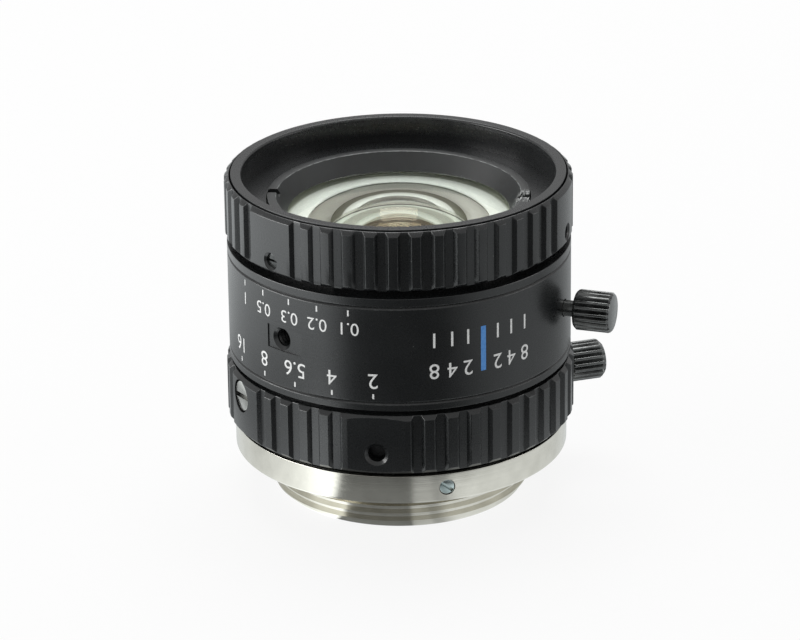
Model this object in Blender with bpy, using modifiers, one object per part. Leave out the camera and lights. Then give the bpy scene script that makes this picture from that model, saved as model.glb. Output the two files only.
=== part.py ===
"""A C-mount machine vision lens with a helicoid focus, a six-blade iris and two locking thumb screws.

Metres, +Z up. The optical axis is Z, and the rear end of the mount thread stands on z = 0.
A bearing is an angle round the axis in degrees: 0 points to -Y, and it grows towards +X.
"""
from math import atan2, cos, degrees, pi, radians, sin, sqrt

import bmesh
import bpy
from mathutils import Matrix, Vector

# Clearances
SEAT_GAP = 0.0003
RUNNING_GAP = 0.00015
PRESS_GAP = 0.0001
BLADE_GAP = 0.0001
HOLE_GAP = 0.00005

# Camera mount
THREAD_RADIUS = 0.0127
THREAD_LENGTH = 0.0044
THREAD_END_BEVEL = 0.0005
THREAD_RELIEF_LENGTH = 0.0008
THREAD_RELIEF_DEPTH = 0.0004
THREAD_WALL = 0.0017
FLANGE_WALL = 0.0013
FLANGE_THICKNESS = 0.0029
FLANGE_EDGE_BEVEL = 0.0002
SEAT_UNDERCUT_WIDTH = 0.0003
SEAT_UNDERCUT_DEPTH = 0.00015
MOUNT_WEB_THICKNESS = 0.0006
MOUNT_SCREW_RADIUS = 0.00075
MOUNT_SCREW_RISE = 0.0015
MOUNT_SCREW_BEARINGS = (15.4, 135.4, 255.4)
SET_SCREW_SLOT_WIDTH = 0.00025
SET_SCREW_SLOT_DEPTH = 0.00035

# Knurled rings: ribs between grooves that run the ring's whole height
RIB_GROOVE_DEPTH = 0.0004
RIB_GROOVE_FLOOR = 0.00075
RIB_GROOVE_WALL = 0.00030
RING_END_BEVEL = 0.0004

# Iris ring
IRIS_RING_WALL = 0.00145
IRIS_RING_HEIGHT = 0.00605
IRIS_RING_LOW_GAP = 0.0005
IRIS_RING_HIGH_GAP = 0.0005
IRIS_GROOVE_FIRST = 5.3
IRIS_GROOVE_LAST = 338.2
IRIS_GROOVE_COUNT = 44
IRIS_FACET_BEARING = -8.2
IRIS_FACET_HALF_ANGLE = 9.4
IRIS_TAPPED_HEIGHT = 0.0020
IRIS_LOCK_BEARING = 108.0
IRIS_DRIVE_BEARING = -66.0
IRIS_DRIVE_DROP = 0.00195
IRIS_DRIVE_PLAIN_HALF_ANGLE = 7.0
IRIS_DRIVE_HEAD_RADIUS = 0.0015
IRIS_DRIVE_HEAD_HEIGHT = 0.0008
IRIS_DRIVE_SLOT_WIDTH = 0.0005
IRIS_DRIVE_SLOT_DEPTH = 0.0004
IRIS_DRIVE_PIN_RADIUS = 0.0005
IRIS_TURN = 45.0

# Main barrel, with a neck inside the iris ring and a spigot inside the mount ring
BARREL_WALL = 0.0019
BARREL_HEIGHT = 0.01155
BARREL_BAND_INSET = 0.00095
BARREL_LINE_DEPTH = 0.00015
BARREL_SHOULDER_RISE = 0.00165
BARREL_SHOULDER_WIDTH = 0.0025
NECK_DEPTH = 0.0013
SPIGOT_DEPTH = 0.0006
FOCUS_LOCK_BEARING = 72.0
FOCUS_TAPPED_BEARINGS = (-42.9, 192.0)
FOCUS_TAPPED_DROP = 0.0058
PAD_DEPTH = 0.00021
PAD_CUT_OFF_ANGLE = 6.0
PAD_HEIGHT = 0.0024
PAD_RUN_OUT = 0.0053
GUIDE_PIN_BEARING = 150.0
GUIDE_PIN_RADIUS = 0.0006
GUIDE_PIN_DROP = 0.0028

# Tapped holes and thumb screws
TAPPED_RADIUS = 0.00085
TAPPED_MOUTH_RADIUS = 0.00115
TAPPED_MOUTH_DEPTH = 0.0003
THUMB_HEAD_RADIUS = 0.0020
THUMB_HEAD_LENGTH = 0.0037
THUMB_KNURL_DEPTH = 0.0002
THUMB_KNURL_COUNT = 18
THUMB_SHANK_RADIUS = 0.0008
FOCUS_LOCK_STAND_OFF = 0.0012
IRIS_LOCK_STAND_OFF = 0.0004

# Focus ring and its helicoid
FOCUS_RING_PROUD = 0.00015
FOCUS_RING_WALL = 0.00105
FOCUS_RING_LIP = 0.0005
FOCUS_RING_HEIGHT = 0.0060
FOCUS_RING_LOW_GAP = 0.0007
FOCUS_GROOVE_FIRST = -35.5
FOCUS_GROOVE_LAST = 301.2
FOCUS_GROOVE_COUNT = 46
FOCUS_SCREW_RADIUS = 0.0007
FOCUS_SCREW_RISE = 0.0013
FOCUS_SCREW_BEARINGS = (-46.3, 73.5, 193.5)
FOCUS_SCREW_SINK = 0.0003
HELICOID_WALL = 0.0008
HELICOID_RETAINER_THICKNESS = 0.0006

# Front barrel
RIM_WALL = 0.00105
RIM_PROUD = 0.00015
RIM_THICKNESS = 0.0008
FILTER_DEPTH = 0.00275
SKIRT_WALL = 0.00095
FRONT_SEAT_DEPTH = 0.0057
FRONT_SEAT_WIDTH = 0.00355
SECOND_BORE_LENGTH = 0.0031
SOCKET_STEP = 0.0019
RETAINER_RIM_WIDTH = 0.00085
RETAINER_CONE_WIDTH = 0.00115
RETAINER_PROUD = 0.0003
RETAINER_NOTCH_WIDTH = 0.0010
RETAINER_NOTCH_DEPTH = 0.0005
RETAINER_NOTCH_BEARINGS = (-95.0, 85.0)

# Rear barrel and iris
REAR_TUBE_CLEARANCE = 0.0005
REAR_TUBE_WALL = 0.0018
HOUSING_STEP = 0.0018
HOUSING_FLOOR_DROP = 0.0029
HOUSING_FLOOR_THICKNESS = 0.0005
HOUSING_WALL = 0.0006
DOUBLET_SEAT_WIDTH = 0.0017
DOUBLET_SEAT_DROP = 0.0007
IRIS_BASE_THICKNESS = 0.0006
IRIS_BASE_SHOWS = 0.0002
BLADE_COUNT = 6
BLADE_THICKNESS = 0.0001
BLADE_WIDTH = 0.0027
BLADE_ARM = 0.0015
BLADE_ARM_ANGLE = -109.9
BLADE_SWING = 36.0
BLADE_SPREAD = 110.0
BLADE_OUTER_START = 14.0
BLADE_INNER_END = -4.0
BLADE_PIN_RADIUS = 0.00035
BLADE_LUG_RADIUS = 0.0007
BLADE_LUG_REACH = 0.0009
BLADE_ARC_POINTS = 6
BLADE_TIP_POINTS = 5
BLADE_LUG_POINTS = 3
DRIVE_LUG_ARC = (225.0, 325.0)
PIVOT_LUG_ARC = (-20.0, 70.0)
PIVOT_TO_WALL = 0.0017
CAM_WEB = 0.0014
CAM_PLATE_THICKNESS = 0.0005
CAM_COLLAR_HEIGHT = 0.00125
CAM_COLLAR_WALL = 0.0004
CAM_SLOT_POINTS = 5
CAM_SLOT_CAP_HALF_ANGLE = 60.0
CAM_SLOT_CAP_POINTS = 3

# Middle cell
CELL_SPIGOT_LENGTH = 0.0028
CELL_FLANGE_THICKNESS = 0.0006
CELL_WALL = 0.0028
CELL_SEAT_RISE = 0.0014
CELL_SEAT_WIDTH = 0.0012
THIRD_RETAINER_THICKNESS = 0.0008

# Glass: a bow is how far a surface bulges between its crown and its edge, a hollow how far it dips
FRONT_LENS_BOW = 0.00209
FRONT_LENS_HOLLOW = 0.0037
FRONT_LENS_FLAT = 0.0045
SECOND_LENS_BOW = 0.0022
SECOND_LENS_HOLLOW = 0.0031
SECOND_LENS_FLAT = 0.0023
SECOND_LENS_HEIGHT = 0.0049
THIRD_LENS_FRONT_BOW = 0.0018
THIRD_LENS_REAR_BOW = 0.0015
THIRD_LENS_THICKNESS = 0.0060
DOUBLET_HOLLOW = 0.0011
DOUBLET_FLAT = 0.0018
DOUBLET_CEMENT_BOW = 0.0016
DOUBLET_REAR_BOW = 0.0009
DOUBLET_FRONT_THICKNESS = 0.0007
DOUBLET_REAR_THICKNESS = 0.0028
REAR_LENS_GAP = 0.0002
REAR_LENS_SINK = 0.0009
REAR_LENS_THICKNESS = 0.0011
REAR_LENS_FRONT_BOW = 0.0006
REAR_LENS_REAR_BOW = 0.00015
REAR_RING_WIDTH = 0.0009

# Focus travel of the lens cell, for each degree of the focus ring
FOCUS_LEAD = 0.000005
FOCUS_TURN_LOW = -70.0
FOCUS_TURN_HIGH = 90.0

# Facets round a turn
RIB_RING_STEPS = 40
OUTER_STEPS = 36
SLEEVE_STEPS = 25
INNER_STEPS = 23
LENS_STEPS = 18
HOLE_SIDES = 10
HEAD_SIDES = 12
SCREW_SIDES = 8
PIN_SIDES = 6
SECTOR_POINTS = 6
SMOOTH_UP_TO_ANGLE = 30.0

# Length of the arrows that show a joint's frame
FRAME_ARROWS = 0.002

# Radii from the mount thread in to the rear glass, and out to the iris housing
mount_bore_radius = THREAD_RADIUS - THREAD_WALL
rear_tube_radius = mount_bore_radius - REAR_TUBE_CLEARANCE
rear_bore_radius = rear_tube_radius - REAR_TUBE_WALL
doublet_seat_radius = rear_bore_radius - DOUBLET_SEAT_WIDTH
housing_radius = rear_tube_radius + HOUSING_STEP
housing_bore = housing_radius + PRESS_GAP * 2
cavity_radius = housing_radius - HOUSING_WALL
cam_radius = cavity_radius - RUNNING_GAP
collar_bore = cam_radius - CAM_COLLAR_WALL
blade_pivot_radius = cavity_radius - PIVOT_TO_WALL
blade_outer_radius = blade_pivot_radius - BLADE_LUG_REACH
blade_inner_radius = blade_outer_radius - BLADE_WIDTH
iris_aperture_radius = blade_inner_radius - IRIS_BASE_SHOWS
cam_bore_radius = blade_pivot_radius - CAM_WEB

# Radii from the iris housing out to the rings that the hand turns
barrel_bore = housing_bore + BARREL_SHOULDER_WIDTH
barrel_radius = barrel_bore + BARREL_WALL
neck_radius = barrel_radius - NECK_DEPTH
spigot_radius = neck_radius - SPIGOT_DEPTH
mount_socket_radius = spigot_radius + PRESS_GAP * 2
flange_radius = mount_socket_radius + FLANGE_WALL
iris_bore = neck_radius + RUNNING_GAP
iris_ring_radius = iris_bore + IRIS_RING_WALL
focus_ring_radius = barrel_radius + FOCUS_RING_PROUD
focus_ring_bore = focus_ring_radius - FOCUS_RING_WALL
counterbore_radius = focus_ring_radius - FOCUS_RING_LIP
rim_radius = counterbore_radius - RUNNING_GAP
filter_radius = rim_radius - RIM_WALL

# Radii from the helicoid in to the front glass
helicoid_radius = barrel_bore - RUNNING_GAP
helicoid_bore = helicoid_radius - HELICOID_WALL
skirt_radius = helicoid_bore - RUNNING_GAP
front_seat_radius = skirt_radius - SKIRT_WALL
front_lens_radius = front_seat_radius - PRESS_GAP * 2
retainer_radius = front_seat_radius - PRESS_GAP
retainer_top_radius = retainer_radius - RETAINER_RIM_WIDTH
retainer_glass_radius = retainer_top_radius - RETAINER_CONE_WIDTH
second_bore_radius = front_seat_radius - FRONT_SEAT_WIDTH
socket_radius = second_bore_radius + SOCKET_STEP
upper_spigot_radius = socket_radius - SEAT_GAP
cell_bore_radius = upper_spigot_radius - CELL_WALL
cell_seat_radius = cell_bore_radius - CELL_SEAT_WIDTH

# Heights from the camera mount up to the rim
seat_z = THREAD_LENGTH
web_top = seat_z + MOUNT_WEB_THICKNESS
mount_screw_z = seat_z + MOUNT_SCREW_RISE
flange_top = seat_z + FLANGE_THICKNESS
iris_low = flange_top + IRIS_RING_LOW_GAP
iris_top = iris_low + IRIS_RING_HEIGHT
iris_hole_z = iris_low + IRIS_TAPPED_HEIGHT
drive_z = iris_top - IRIS_DRIVE_DROP
barrel_low = iris_top + IRIS_RING_HIGH_GAP
barrel_top = barrel_low + BARREL_HEIGHT
shoulder_z = barrel_low + BARREL_SHOULDER_RISE
focus_lock_z = barrel_top - FOCUS_TAPPED_DROP
guide_pin_z = shoulder_z - GUIDE_PIN_DROP
focus_low = barrel_top + FOCUS_RING_LOW_GAP
focus_top = focus_low + FOCUS_RING_HEIGHT
focus_screw_z = focus_low + FOCUS_SCREW_RISE
rim_top = focus_top + RIM_PROUD
cavity_floor = rim_top - FILTER_DEPTH
rim_low = cavity_floor - RIM_THICKNESS
counterbore_low = rim_low - BLADE_GAP
helicoid_flange_low = focus_low + SEAT_GAP
helicoid_flange_top = rim_low - SEAT_GAP

# Heights inside, from the iris up to the front glass
housing_floor = drive_z - HOUSING_FLOOR_DROP
housing_low = housing_floor - HOUSING_FLOOR_THICKNESS
doublet_seat_z = housing_floor - DOUBLET_SEAT_DROP
doublet_top = doublet_seat_z - BLADE_GAP * 2 - DOUBLET_HOLLOW
cement_z = doublet_top - DOUBLET_FRONT_THICKNESS
doublet_rear_top = cement_z - BLADE_GAP
doublet_low = doublet_rear_top - DOUBLET_REAR_THICKNESS
rear_lens_top = doublet_low - REAR_LENS_GAP
rear_lens_low = rear_lens_top - REAR_LENS_THICKNESS
rear_low = rear_lens_low - REAR_LENS_SINK
iris_base_low = housing_floor + BLADE_GAP
iris_base_top = iris_base_low + IRIS_BASE_THICKNESS
blade_pitch = BLADE_THICKNESS + BLADE_GAP
cam_low = iris_base_top + BLADE_GAP + BLADE_COUNT * blade_pitch + BLADE_GAP
cam_plate_top = cam_low + CAM_PLATE_THICKNESS
cell_low = shoulder_z - CELL_SPIGOT_LENGTH
cell_seat_z = cell_low + CELL_SEAT_RISE
cell_flange_low = shoulder_z + BLADE_GAP
cell_flange_top = cell_flange_low + CELL_FLANGE_THICKNESS
helicoid_retainer_low = cell_flange_top + BLADE_GAP
helicoid_retainer_top = helicoid_retainer_low + HELICOID_RETAINER_THICKNESS
skirt_low = helicoid_retainer_top + BLADE_GAP
front_seat_low = cavity_floor - FRONT_SEAT_DEPTH
socket_top = front_seat_low - SECOND_BORE_LENGTH
cell_top = socket_top - SEAT_GAP

# How far the lens cell slides
travel_down = -FOCUS_TURN_LOW * FOCUS_LEAD
travel_up = FOCUS_TURN_HIGH * FOCUS_LEAD


def empty_the_scene():
    """Remove what a new file starts with."""
    for thing in list(bpy.data.objects):
        bpy.data.objects.remove(thing)


def new_collection(name):
    group = bpy.data.collections.new(name)
    bpy.context.scene.collection.children.link(group)
    return group


empty_the_scene()
parts = new_collection("machine_vision_lens")
cutters = new_collection("cutters")


def finish(name, colour, roughness, metallic=0.0, transmission=0.0):
    """A Principled material in the piece's own colour."""
    material = bpy.data.materials.new(name)
    material.use_nodes = True
    shader = material.node_tree.nodes["Principled BSDF"]
    shader.inputs["Base Color"].default_value = (*colour, 1.0)
    shader.inputs["Roughness"].default_value = roughness
    shader.inputs["Metallic"].default_value = metallic
    shader.inputs["Transmission Weight"].default_value = transmission
    material.diffuse_color = (*colour, 1.0)
    return material


def black_anodised(name):
    return finish(name + "_black_anodised", (0.035, 0.037, 0.038), 0.42, 0.3)


def nickel_plate(name):
    return finish(name + "_nickel_plate", (0.62, 0.61, 0.57), 0.28, 1.0)


def bare_steel(name):
    return finish(name + "_steel", (0.55, 0.55, 0.53), 0.30, 1.0)


def blackened_steel(name):
    return finish(name + "_blackened_steel", (0.02, 0.02, 0.021), 0.35, 0.6)


def bare_brass(name):
    return finish(name + "_brass", (0.60, 0.42, 0.16), 0.30, 1.0)


def optical_glass(name):
    return finish(name + "_glass", (0.90, 0.93, 0.90), 0.02, 0.0, 0.9)


def add_empty(name, location=(0, 0, 0), parent=None):
    """A joint's frame, which carries the pieces that move together."""
    frame = bpy.data.objects.new(name, None)
    frame.empty_display_size = FRAME_ARROWS
    frame.location = location
    frame.parent = parent
    parts.objects.link(frame)
    return frame


def add_piece(name, mesh, material, parent, location=(0, 0, 0), turn=(0, 0, 0)):
    """Put a mesh in the assembly as one named piece."""
    piece = bpy.data.objects.new(name, mesh)
    piece.location = location
    piece.rotation_euler = turn
    piece.parent = parent
    if material is not None:
        mesh.materials.append(material)
    parts.objects.link(piece)
    return piece


def turned(name, outline, steps, material, parent):
    """A turned piece from an outline of (radius, height), listed down its outer side first.

    An outline that starts and ends on the axis is a solid of glass or metal, any other is a ring.
    """
    base = min(height for radius, height in outline)
    form = bmesh.new()
    corners = [form.verts.new((radius, 0, height - base)) for radius, height in outline]
    for first, second in zip(corners, corners[1:]):
        form.edges.new((first, second))
    if outline[0][0] > 0:
        form.edges.new((corners[-1], corners[0]))
    mesh = bpy.data.meshes.new(name)
    form.to_mesh(mesh)
    form.free()
    piece = add_piece(name, mesh, material, parent, (0, 0, base))
    spin = piece.modifiers.new("spin", "SCREW")
    spin.steps = steps
    spin.render_steps = steps
    spin.use_merge_vertices = True
    spin.merge_threshold = 0.000001
    return piece


def add_cutter(name, form):
    """Turn a bmesh into a hidden tool for Boolean modifiers."""
    mesh = bpy.data.meshes.new(name)
    bmesh.ops.recalc_face_normals(form, faces=form.faces)
    form.to_mesh(mesh)
    form.free()
    tool = bpy.data.objects.new(name, mesh)
    tool.hide_render = True
    tool.display_type = "WIRE"
    cutters.objects.link(tool)
    return tool


def combine(piece, tool, operation="DIFFERENCE"):
    step = piece.modifiers.new(tool.name, "BOOLEAN")
    step.operation = operation
    step.solver = "EXACT"
    step.object = tool


def radial(bearing, height):
    """The frame of a radial feature: its Z points out along the bearing, its Y up."""
    turn = Matrix.Rotation(radians(bearing), 4, "Z") @ Matrix.Rotation(radians(90), 4, "X")
    return Matrix.Translation((0, 0, height)) @ turn


def drill(form, bearing, height, radius, start, end, end_radius=None, sides=HOLE_SIDES):
    """Add a round bar or cone along a bearing, between two distances from the axis."""
    place = radial(bearing, height) @ Matrix.Translation((0, 0, (start + end) / 2))
    outer = radius if end_radius is None else end_radius
    bmesh.ops.create_cone(form, cap_ends=True, segments=sides, radius1=radius, radius2=outer,
                          depth=end - start, matrix=place)


def block(form, bearing, sideways, upright, outward):
    """Add a box whose three pairs of limits are given sideways, upright and out along a bearing."""
    spans = (sideways, upright, outward)
    middle = Vector([(low + high) / 2 for low, high in spans])
    size = Matrix.Diagonal([high - low for low, high in spans] + [1])
    place = radial(bearing, 0) @ Matrix.Translation(middle) @ size
    bmesh.ops.create_cube(form, size=1, matrix=place)


def plate(form, outline, low, high):
    """Add a flat plate from an outline of (x, y) between two heights."""
    corners = [form.verts.new((x, y, low)) for x, y in outline]
    face = form.faces.new(corners)
    lifted = bmesh.ops.extrude_face_region(form, geom=[face])["geom"]
    moved = [item for item in lifted if isinstance(item, bmesh.types.BMVert)]
    bmesh.ops.translate(form, verts=moved, vec=(0, 0, high - low))


def arc(centre, radius, start, end, count):
    """Points on an arc, in degrees."""
    angles = [radians(start + (end - start) * step / (count - 1)) for step in range(count)]
    return [(centre[0] + radius * cos(angle), centre[1] + radius * sin(angle)) for angle in angles]


def sector(form, bearing_from, bearing_to, inner, outer, low, high, count=SECTOR_POINTS):
    """Add a curved slot tool: a sector of a ring between two bearings."""
    start, end = bearing_from - 90, bearing_to - 90
    outline = arc((0, 0), outer, start, end, count) + arc((0, 0), inner, end, start, count)
    plate(form, outline, low, high)


def rib_grooves(name, bearings, radius, low, high):
    """The tool that cuts the grooves between a ring's ribs, wider at the mouth than at the floor."""
    form = bmesh.new()
    floor = radius - RIB_GROOVE_DEPTH
    mouth = radius + RIB_GROOVE_DEPTH
    half_floor = RIB_GROOVE_FLOOR / 2
    half_mouth = half_floor + RIB_GROOVE_WALL * 2
    for bearing in bearings:
        outline = [(-half_floor, -floor), (-half_mouth, -mouth), (half_mouth, -mouth), (half_floor, -floor)]
        turn = Matrix.Rotation(radians(bearing), 2)
        plate(form, [turn @ Vector(point) for point in outline], low - SEAT_GAP, high + SEAT_GAP)
    return add_cutter(name, form)


def spaced(first, last, count):
    return [first + (last - first) * step / (count - 1) for step in range(count)]


def apart(bearing, other):
    """How far apart two bearings are, in degrees."""
    return abs((bearing - other + 180) % 360 - 180)


def sag(radius, reach, bow):
    """How far a spherical surface, which bows so much at its reach, falls by a radius. A hollow rises."""
    curve = (reach * reach + bow * bow) / (2 * abs(bow))
    fall = curve - sqrt(curve * curve - radius * radius)
    return fall if bow > 0 else -fall


def lens_outline(top, top_bow, top_reach, bottom, bottom_bow, bottom_reach, radius, rings=2):
    """A lens from its two crowns. Positive bows bulge, and past its reach a surface is flat."""
    shares = [step / rings for step in range(rings + 1)]
    upper = [(top_reach * share, top - sag(top_reach * share, top_reach, top_bow)) for share in shares]
    lower = [(bottom_reach * share, bottom + sag(bottom_reach * share, bottom_reach, bottom_bow))
             for share in reversed(shares)]
    if top_reach < radius:
        upper.append((radius, upper[-1][1]))
    if bottom_reach < radius:
        lower.insert(0, (radius, lower[0][1]))
    return upper + lower


def build_mount_ring(barrel):
    relief = THREAD_RADIUS - THREAD_RELIEF_DEPTH
    outline = [
        (flange_radius, flange_top),
        (flange_radius, seat_z + FLANGE_EDGE_BEVEL),
        (flange_radius - FLANGE_EDGE_BEVEL, seat_z),
        (THREAD_RADIUS + SEAT_UNDERCUT_WIDTH, seat_z),
        (relief, seat_z + SEAT_UNDERCUT_DEPTH),
        (relief, seat_z - THREAD_RELIEF_LENGTH),
        (THREAD_RADIUS, seat_z - THREAD_RELIEF_LENGTH - THREAD_RELIEF_DEPTH),
        (THREAD_RADIUS, THREAD_END_BEVEL),
        (THREAD_RADIUS - THREAD_END_BEVEL, 0),
        (mount_bore_radius, 0),
        (mount_bore_radius, web_top),
        (mount_socket_radius, web_top),
        (mount_socket_radius, flange_top),
    ]
    ring = turned("mount_ring", outline, OUTER_STEPS, nickel_plate("mount_ring"), barrel)
    holes = bmesh.new()
    for bearing in MOUNT_SCREW_BEARINGS:
        drill(holes, bearing, mount_screw_z, MOUNT_SCREW_RADIUS + HOLE_GAP, spigot_radius - SEAT_GAP,
              flange_radius + SEAT_GAP)
    combine(ring, add_cutter("mount_screw_holes", holes))
    slotted_screws("mount_set_screw", MOUNT_SCREW_BEARINGS, mount_screw_z, MOUNT_SCREW_RADIUS,
                   spigot_radius + PRESS_GAP, flange_radius - PRESS_GAP, barrel)


def slotted_screws(name, bearings, height, radius, start, end, parent):
    """Headless screws with a slot across the outer end, one piece at each bearing."""
    slot_half = SET_SCREW_SLOT_WIDTH / 2
    for number, bearing in enumerate(bearings, 1):
        form = bmesh.new()
        drill(form, bearing, height, radius, start, end, sides=SCREW_SIDES)
        mesh = bpy.data.meshes.new(f"{name}_{number}")
        form.to_mesh(mesh)
        form.free()
        screw = add_piece(f"{name}_{number}", mesh, bare_steel(f"{name}_{number}"), parent)
        slot = bmesh.new()
        block(slot, bearing, (-radius * 2, radius * 2), (height - slot_half, height + slot_half),
              (end - SET_SCREW_SLOT_DEPTH, end + radius))
        combine(screw, add_cutter(f"{name}_{number}_slot", slot))


def build_main_barrel(barrel):
    line_half = BARREL_LINE_DEPTH
    low_line = barrel_low + BARREL_BAND_INSET - line_half
    high_line = barrel_top - BARREL_BAND_INSET
    outline = [
        (barrel_radius, barrel_top),
        (barrel_radius, high_line + line_half),
        (barrel_radius - BARREL_LINE_DEPTH, high_line),
        (barrel_radius, high_line - line_half),
        (barrel_radius, low_line + line_half),
        (barrel_radius - BARREL_LINE_DEPTH, low_line),
        (barrel_radius, low_line - line_half),
        (barrel_radius, barrel_low),
        (neck_radius, barrel_low),
        (neck_radius, flange_top + SEAT_GAP),
        (spigot_radius, flange_top + SEAT_GAP),
        (spigot_radius, web_top + SEAT_GAP),
        (housing_bore, web_top + SEAT_GAP),
        (housing_bore, shoulder_z),
        (barrel_bore, shoulder_z),
        (barrel_bore, barrel_top),
    ]
    body = turned("main_barrel", outline, OUTER_STEPS, black_anodised("main_barrel"), barrel)
    beyond = barrel_radius + SEAT_GAP

    pad = bmesh.new()
    cut_off = barrel_radius * sin(radians(PAD_CUT_OFF_ANGLE))
    block(pad, FOCUS_TAPPED_BEARINGS[0], (-cut_off, PAD_RUN_OUT),
          (focus_lock_z - PAD_HEIGHT / 2, focus_lock_z + PAD_HEIGHT / 2),
          (barrel_radius - PAD_DEPTH, barrel_radius + PAD_DEPTH))
    combine(body, add_cutter("tapped_hole_pad", pad))

    holes = bmesh.new()
    for bearing in FOCUS_TAPPED_BEARINGS:
        drill(holes, bearing, focus_lock_z, TAPPED_RADIUS, housing_radius, beyond)
    drill(holes, FOCUS_LOCK_BEARING, focus_lock_z, THUMB_SHANK_RADIUS + BLADE_GAP, housing_radius, beyond)
    drill(holes, GUIDE_PIN_BEARING, guide_pin_z, GUIDE_PIN_RADIUS + HOLE_GAP,
          cavity_radius, neck_radius + SEAT_GAP)
    combine(body, add_cutter("barrel_holes", holes))

    mouths = bmesh.new()
    for bearing in FOCUS_TAPPED_BEARINGS:
        drill(mouths, bearing, focus_lock_z, TAPPED_RADIUS, barrel_radius - PAD_DEPTH - TAPPED_MOUTH_DEPTH,
              beyond, TAPPED_MOUTH_RADIUS + SEAT_GAP)
    combine(body, add_cutter("barrel_hole_mouths", mouths))

    slot = bmesh.new()
    room = degrees((IRIS_DRIVE_PIN_RADIUS + SEAT_GAP) / housing_bore)
    rise = IRIS_DRIVE_PIN_RADIUS + RUNNING_GAP
    sector(slot, IRIS_DRIVE_BEARING - room, IRIS_DRIVE_BEARING + IRIS_TURN + room,
           cavity_radius, neck_radius + SEAT_GAP, drive_z - rise, drive_z + rise)
    combine(body, add_cutter("iris_drive_slot", slot))

    pin = bmesh.new()
    drill(pin, GUIDE_PIN_BEARING, guide_pin_z, GUIDE_PIN_RADIUS,
          cavity_radius + RUNNING_GAP, neck_radius - RUNNING_GAP)
    mesh = bpy.data.meshes.new("guide_pin")
    pin.to_mesh(mesh)
    pin.free()
    add_piece("guide_pin", mesh, bare_steel("guide_pin"), barrel)


def ring_outline(radius, low, high, bore):
    """The blank of a knurled ring: bevelled at both ends of its outer side."""
    return [
        (radius - RING_END_BEVEL, high),
        (radius, high - RING_END_BEVEL),
        (radius, low + RING_END_BEVEL),
        (radius - RING_END_BEVEL, low),
        (bore, low),
        (bore, high),
    ]


def build_iris_ring(iris):
    outline = ring_outline(iris_ring_radius, iris_low, iris_top, iris_bore)
    ring = turned("iris_ring", outline, RIB_RING_STEPS, black_anodised("iris_ring"), iris)
    bearings = [bearing for bearing in spaced(IRIS_GROOVE_FIRST, IRIS_GROOVE_LAST, IRIS_GROOVE_COUNT)
                if apart(bearing, IRIS_DRIVE_BEARING) > IRIS_DRIVE_PLAIN_HALF_ANGLE]
    combine(ring, rib_grooves("iris_grooves", bearings, iris_ring_radius, iris_low, iris_top))

    facet = bmesh.new()
    facet_distance = iris_ring_radius * cos(radians(IRIS_FACET_HALF_ANGLE))
    facet_half = iris_ring_radius * sin(radians(IRIS_FACET_HALF_ANGLE)) + SEAT_GAP
    block(facet, IRIS_FACET_BEARING, (-facet_half, facet_half), (iris_low - SEAT_GAP, iris_top + SEAT_GAP),
          (facet_distance, iris_ring_radius + SEAT_GAP))
    combine(ring, add_cutter("iris_facet", facet))

    holes = bmesh.new()
    beyond = iris_ring_radius + SEAT_GAP
    drill(holes, IRIS_FACET_BEARING, iris_hole_z, TAPPED_RADIUS, spigot_radius, beyond)
    drill(holes, IRIS_LOCK_BEARING, iris_hole_z, THUMB_SHANK_RADIUS + BLADE_GAP, spigot_radius, beyond)
    drill(holes, IRIS_DRIVE_BEARING, drive_z, IRIS_DRIVE_PIN_RADIUS + HOLE_GAP, spigot_radius, beyond)
    combine(ring, add_cutter("iris_ring_holes", holes))

    mouths = bmesh.new()
    drill(mouths, IRIS_FACET_BEARING, iris_hole_z, TAPPED_RADIUS, facet_distance - TAPPED_MOUTH_DEPTH,
          facet_distance + TAPPED_MOUTH_DEPTH, TAPPED_MOUTH_RADIUS * 2 - TAPPED_RADIUS)
    drill(mouths, IRIS_DRIVE_BEARING, drive_z, IRIS_DRIVE_HEAD_RADIUS + RUNNING_GAP,
          drive_head_low() - HOLE_GAP, beyond, sides=HEAD_SIDES)
    combine(ring, add_cutter("iris_ring_mouths", mouths))


def drive_head_low():
    """Where the underside of the drive screw's head sits."""
    return iris_ring_radius - IRIS_DRIVE_HEAD_HEIGHT


def build_iris_drive_screw(iris):
    """A slotted screw whose long pin reaches through the barrel's slot to the cam ring's notch."""
    form = bmesh.new()
    drill(form, IRIS_DRIVE_BEARING, drive_z, IRIS_DRIVE_HEAD_RADIUS, drive_head_low(),
          iris_ring_radius - RUNNING_GAP, sides=HEAD_SIDES)
    mesh = bpy.data.meshes.new("iris_drive_screw")
    form.to_mesh(mesh)
    form.free()
    screw = add_piece("iris_drive_screw", mesh, bare_steel("iris_drive_screw"), iris)
    pin = bmesh.new()
    drill(pin, IRIS_DRIVE_BEARING, drive_z, IRIS_DRIVE_PIN_RADIUS, collar_bore + BLADE_GAP,
          drive_head_low() + RUNNING_GAP)
    combine(screw, add_cutter("iris_drive_pin", pin), "UNION")
    slot = bmesh.new()
    slot_half = IRIS_DRIVE_SLOT_WIDTH / 2
    block(slot, IRIS_DRIVE_BEARING, (-IRIS_DRIVE_HEAD_RADIUS * 2, IRIS_DRIVE_HEAD_RADIUS * 2),
          (drive_z - slot_half, drive_z + slot_half),
          (iris_ring_radius - RUNNING_GAP - IRIS_DRIVE_SLOT_DEPTH, iris_ring_radius + SEAT_GAP))
    combine(screw, add_cutter("iris_drive_screw_slot", slot))


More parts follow.
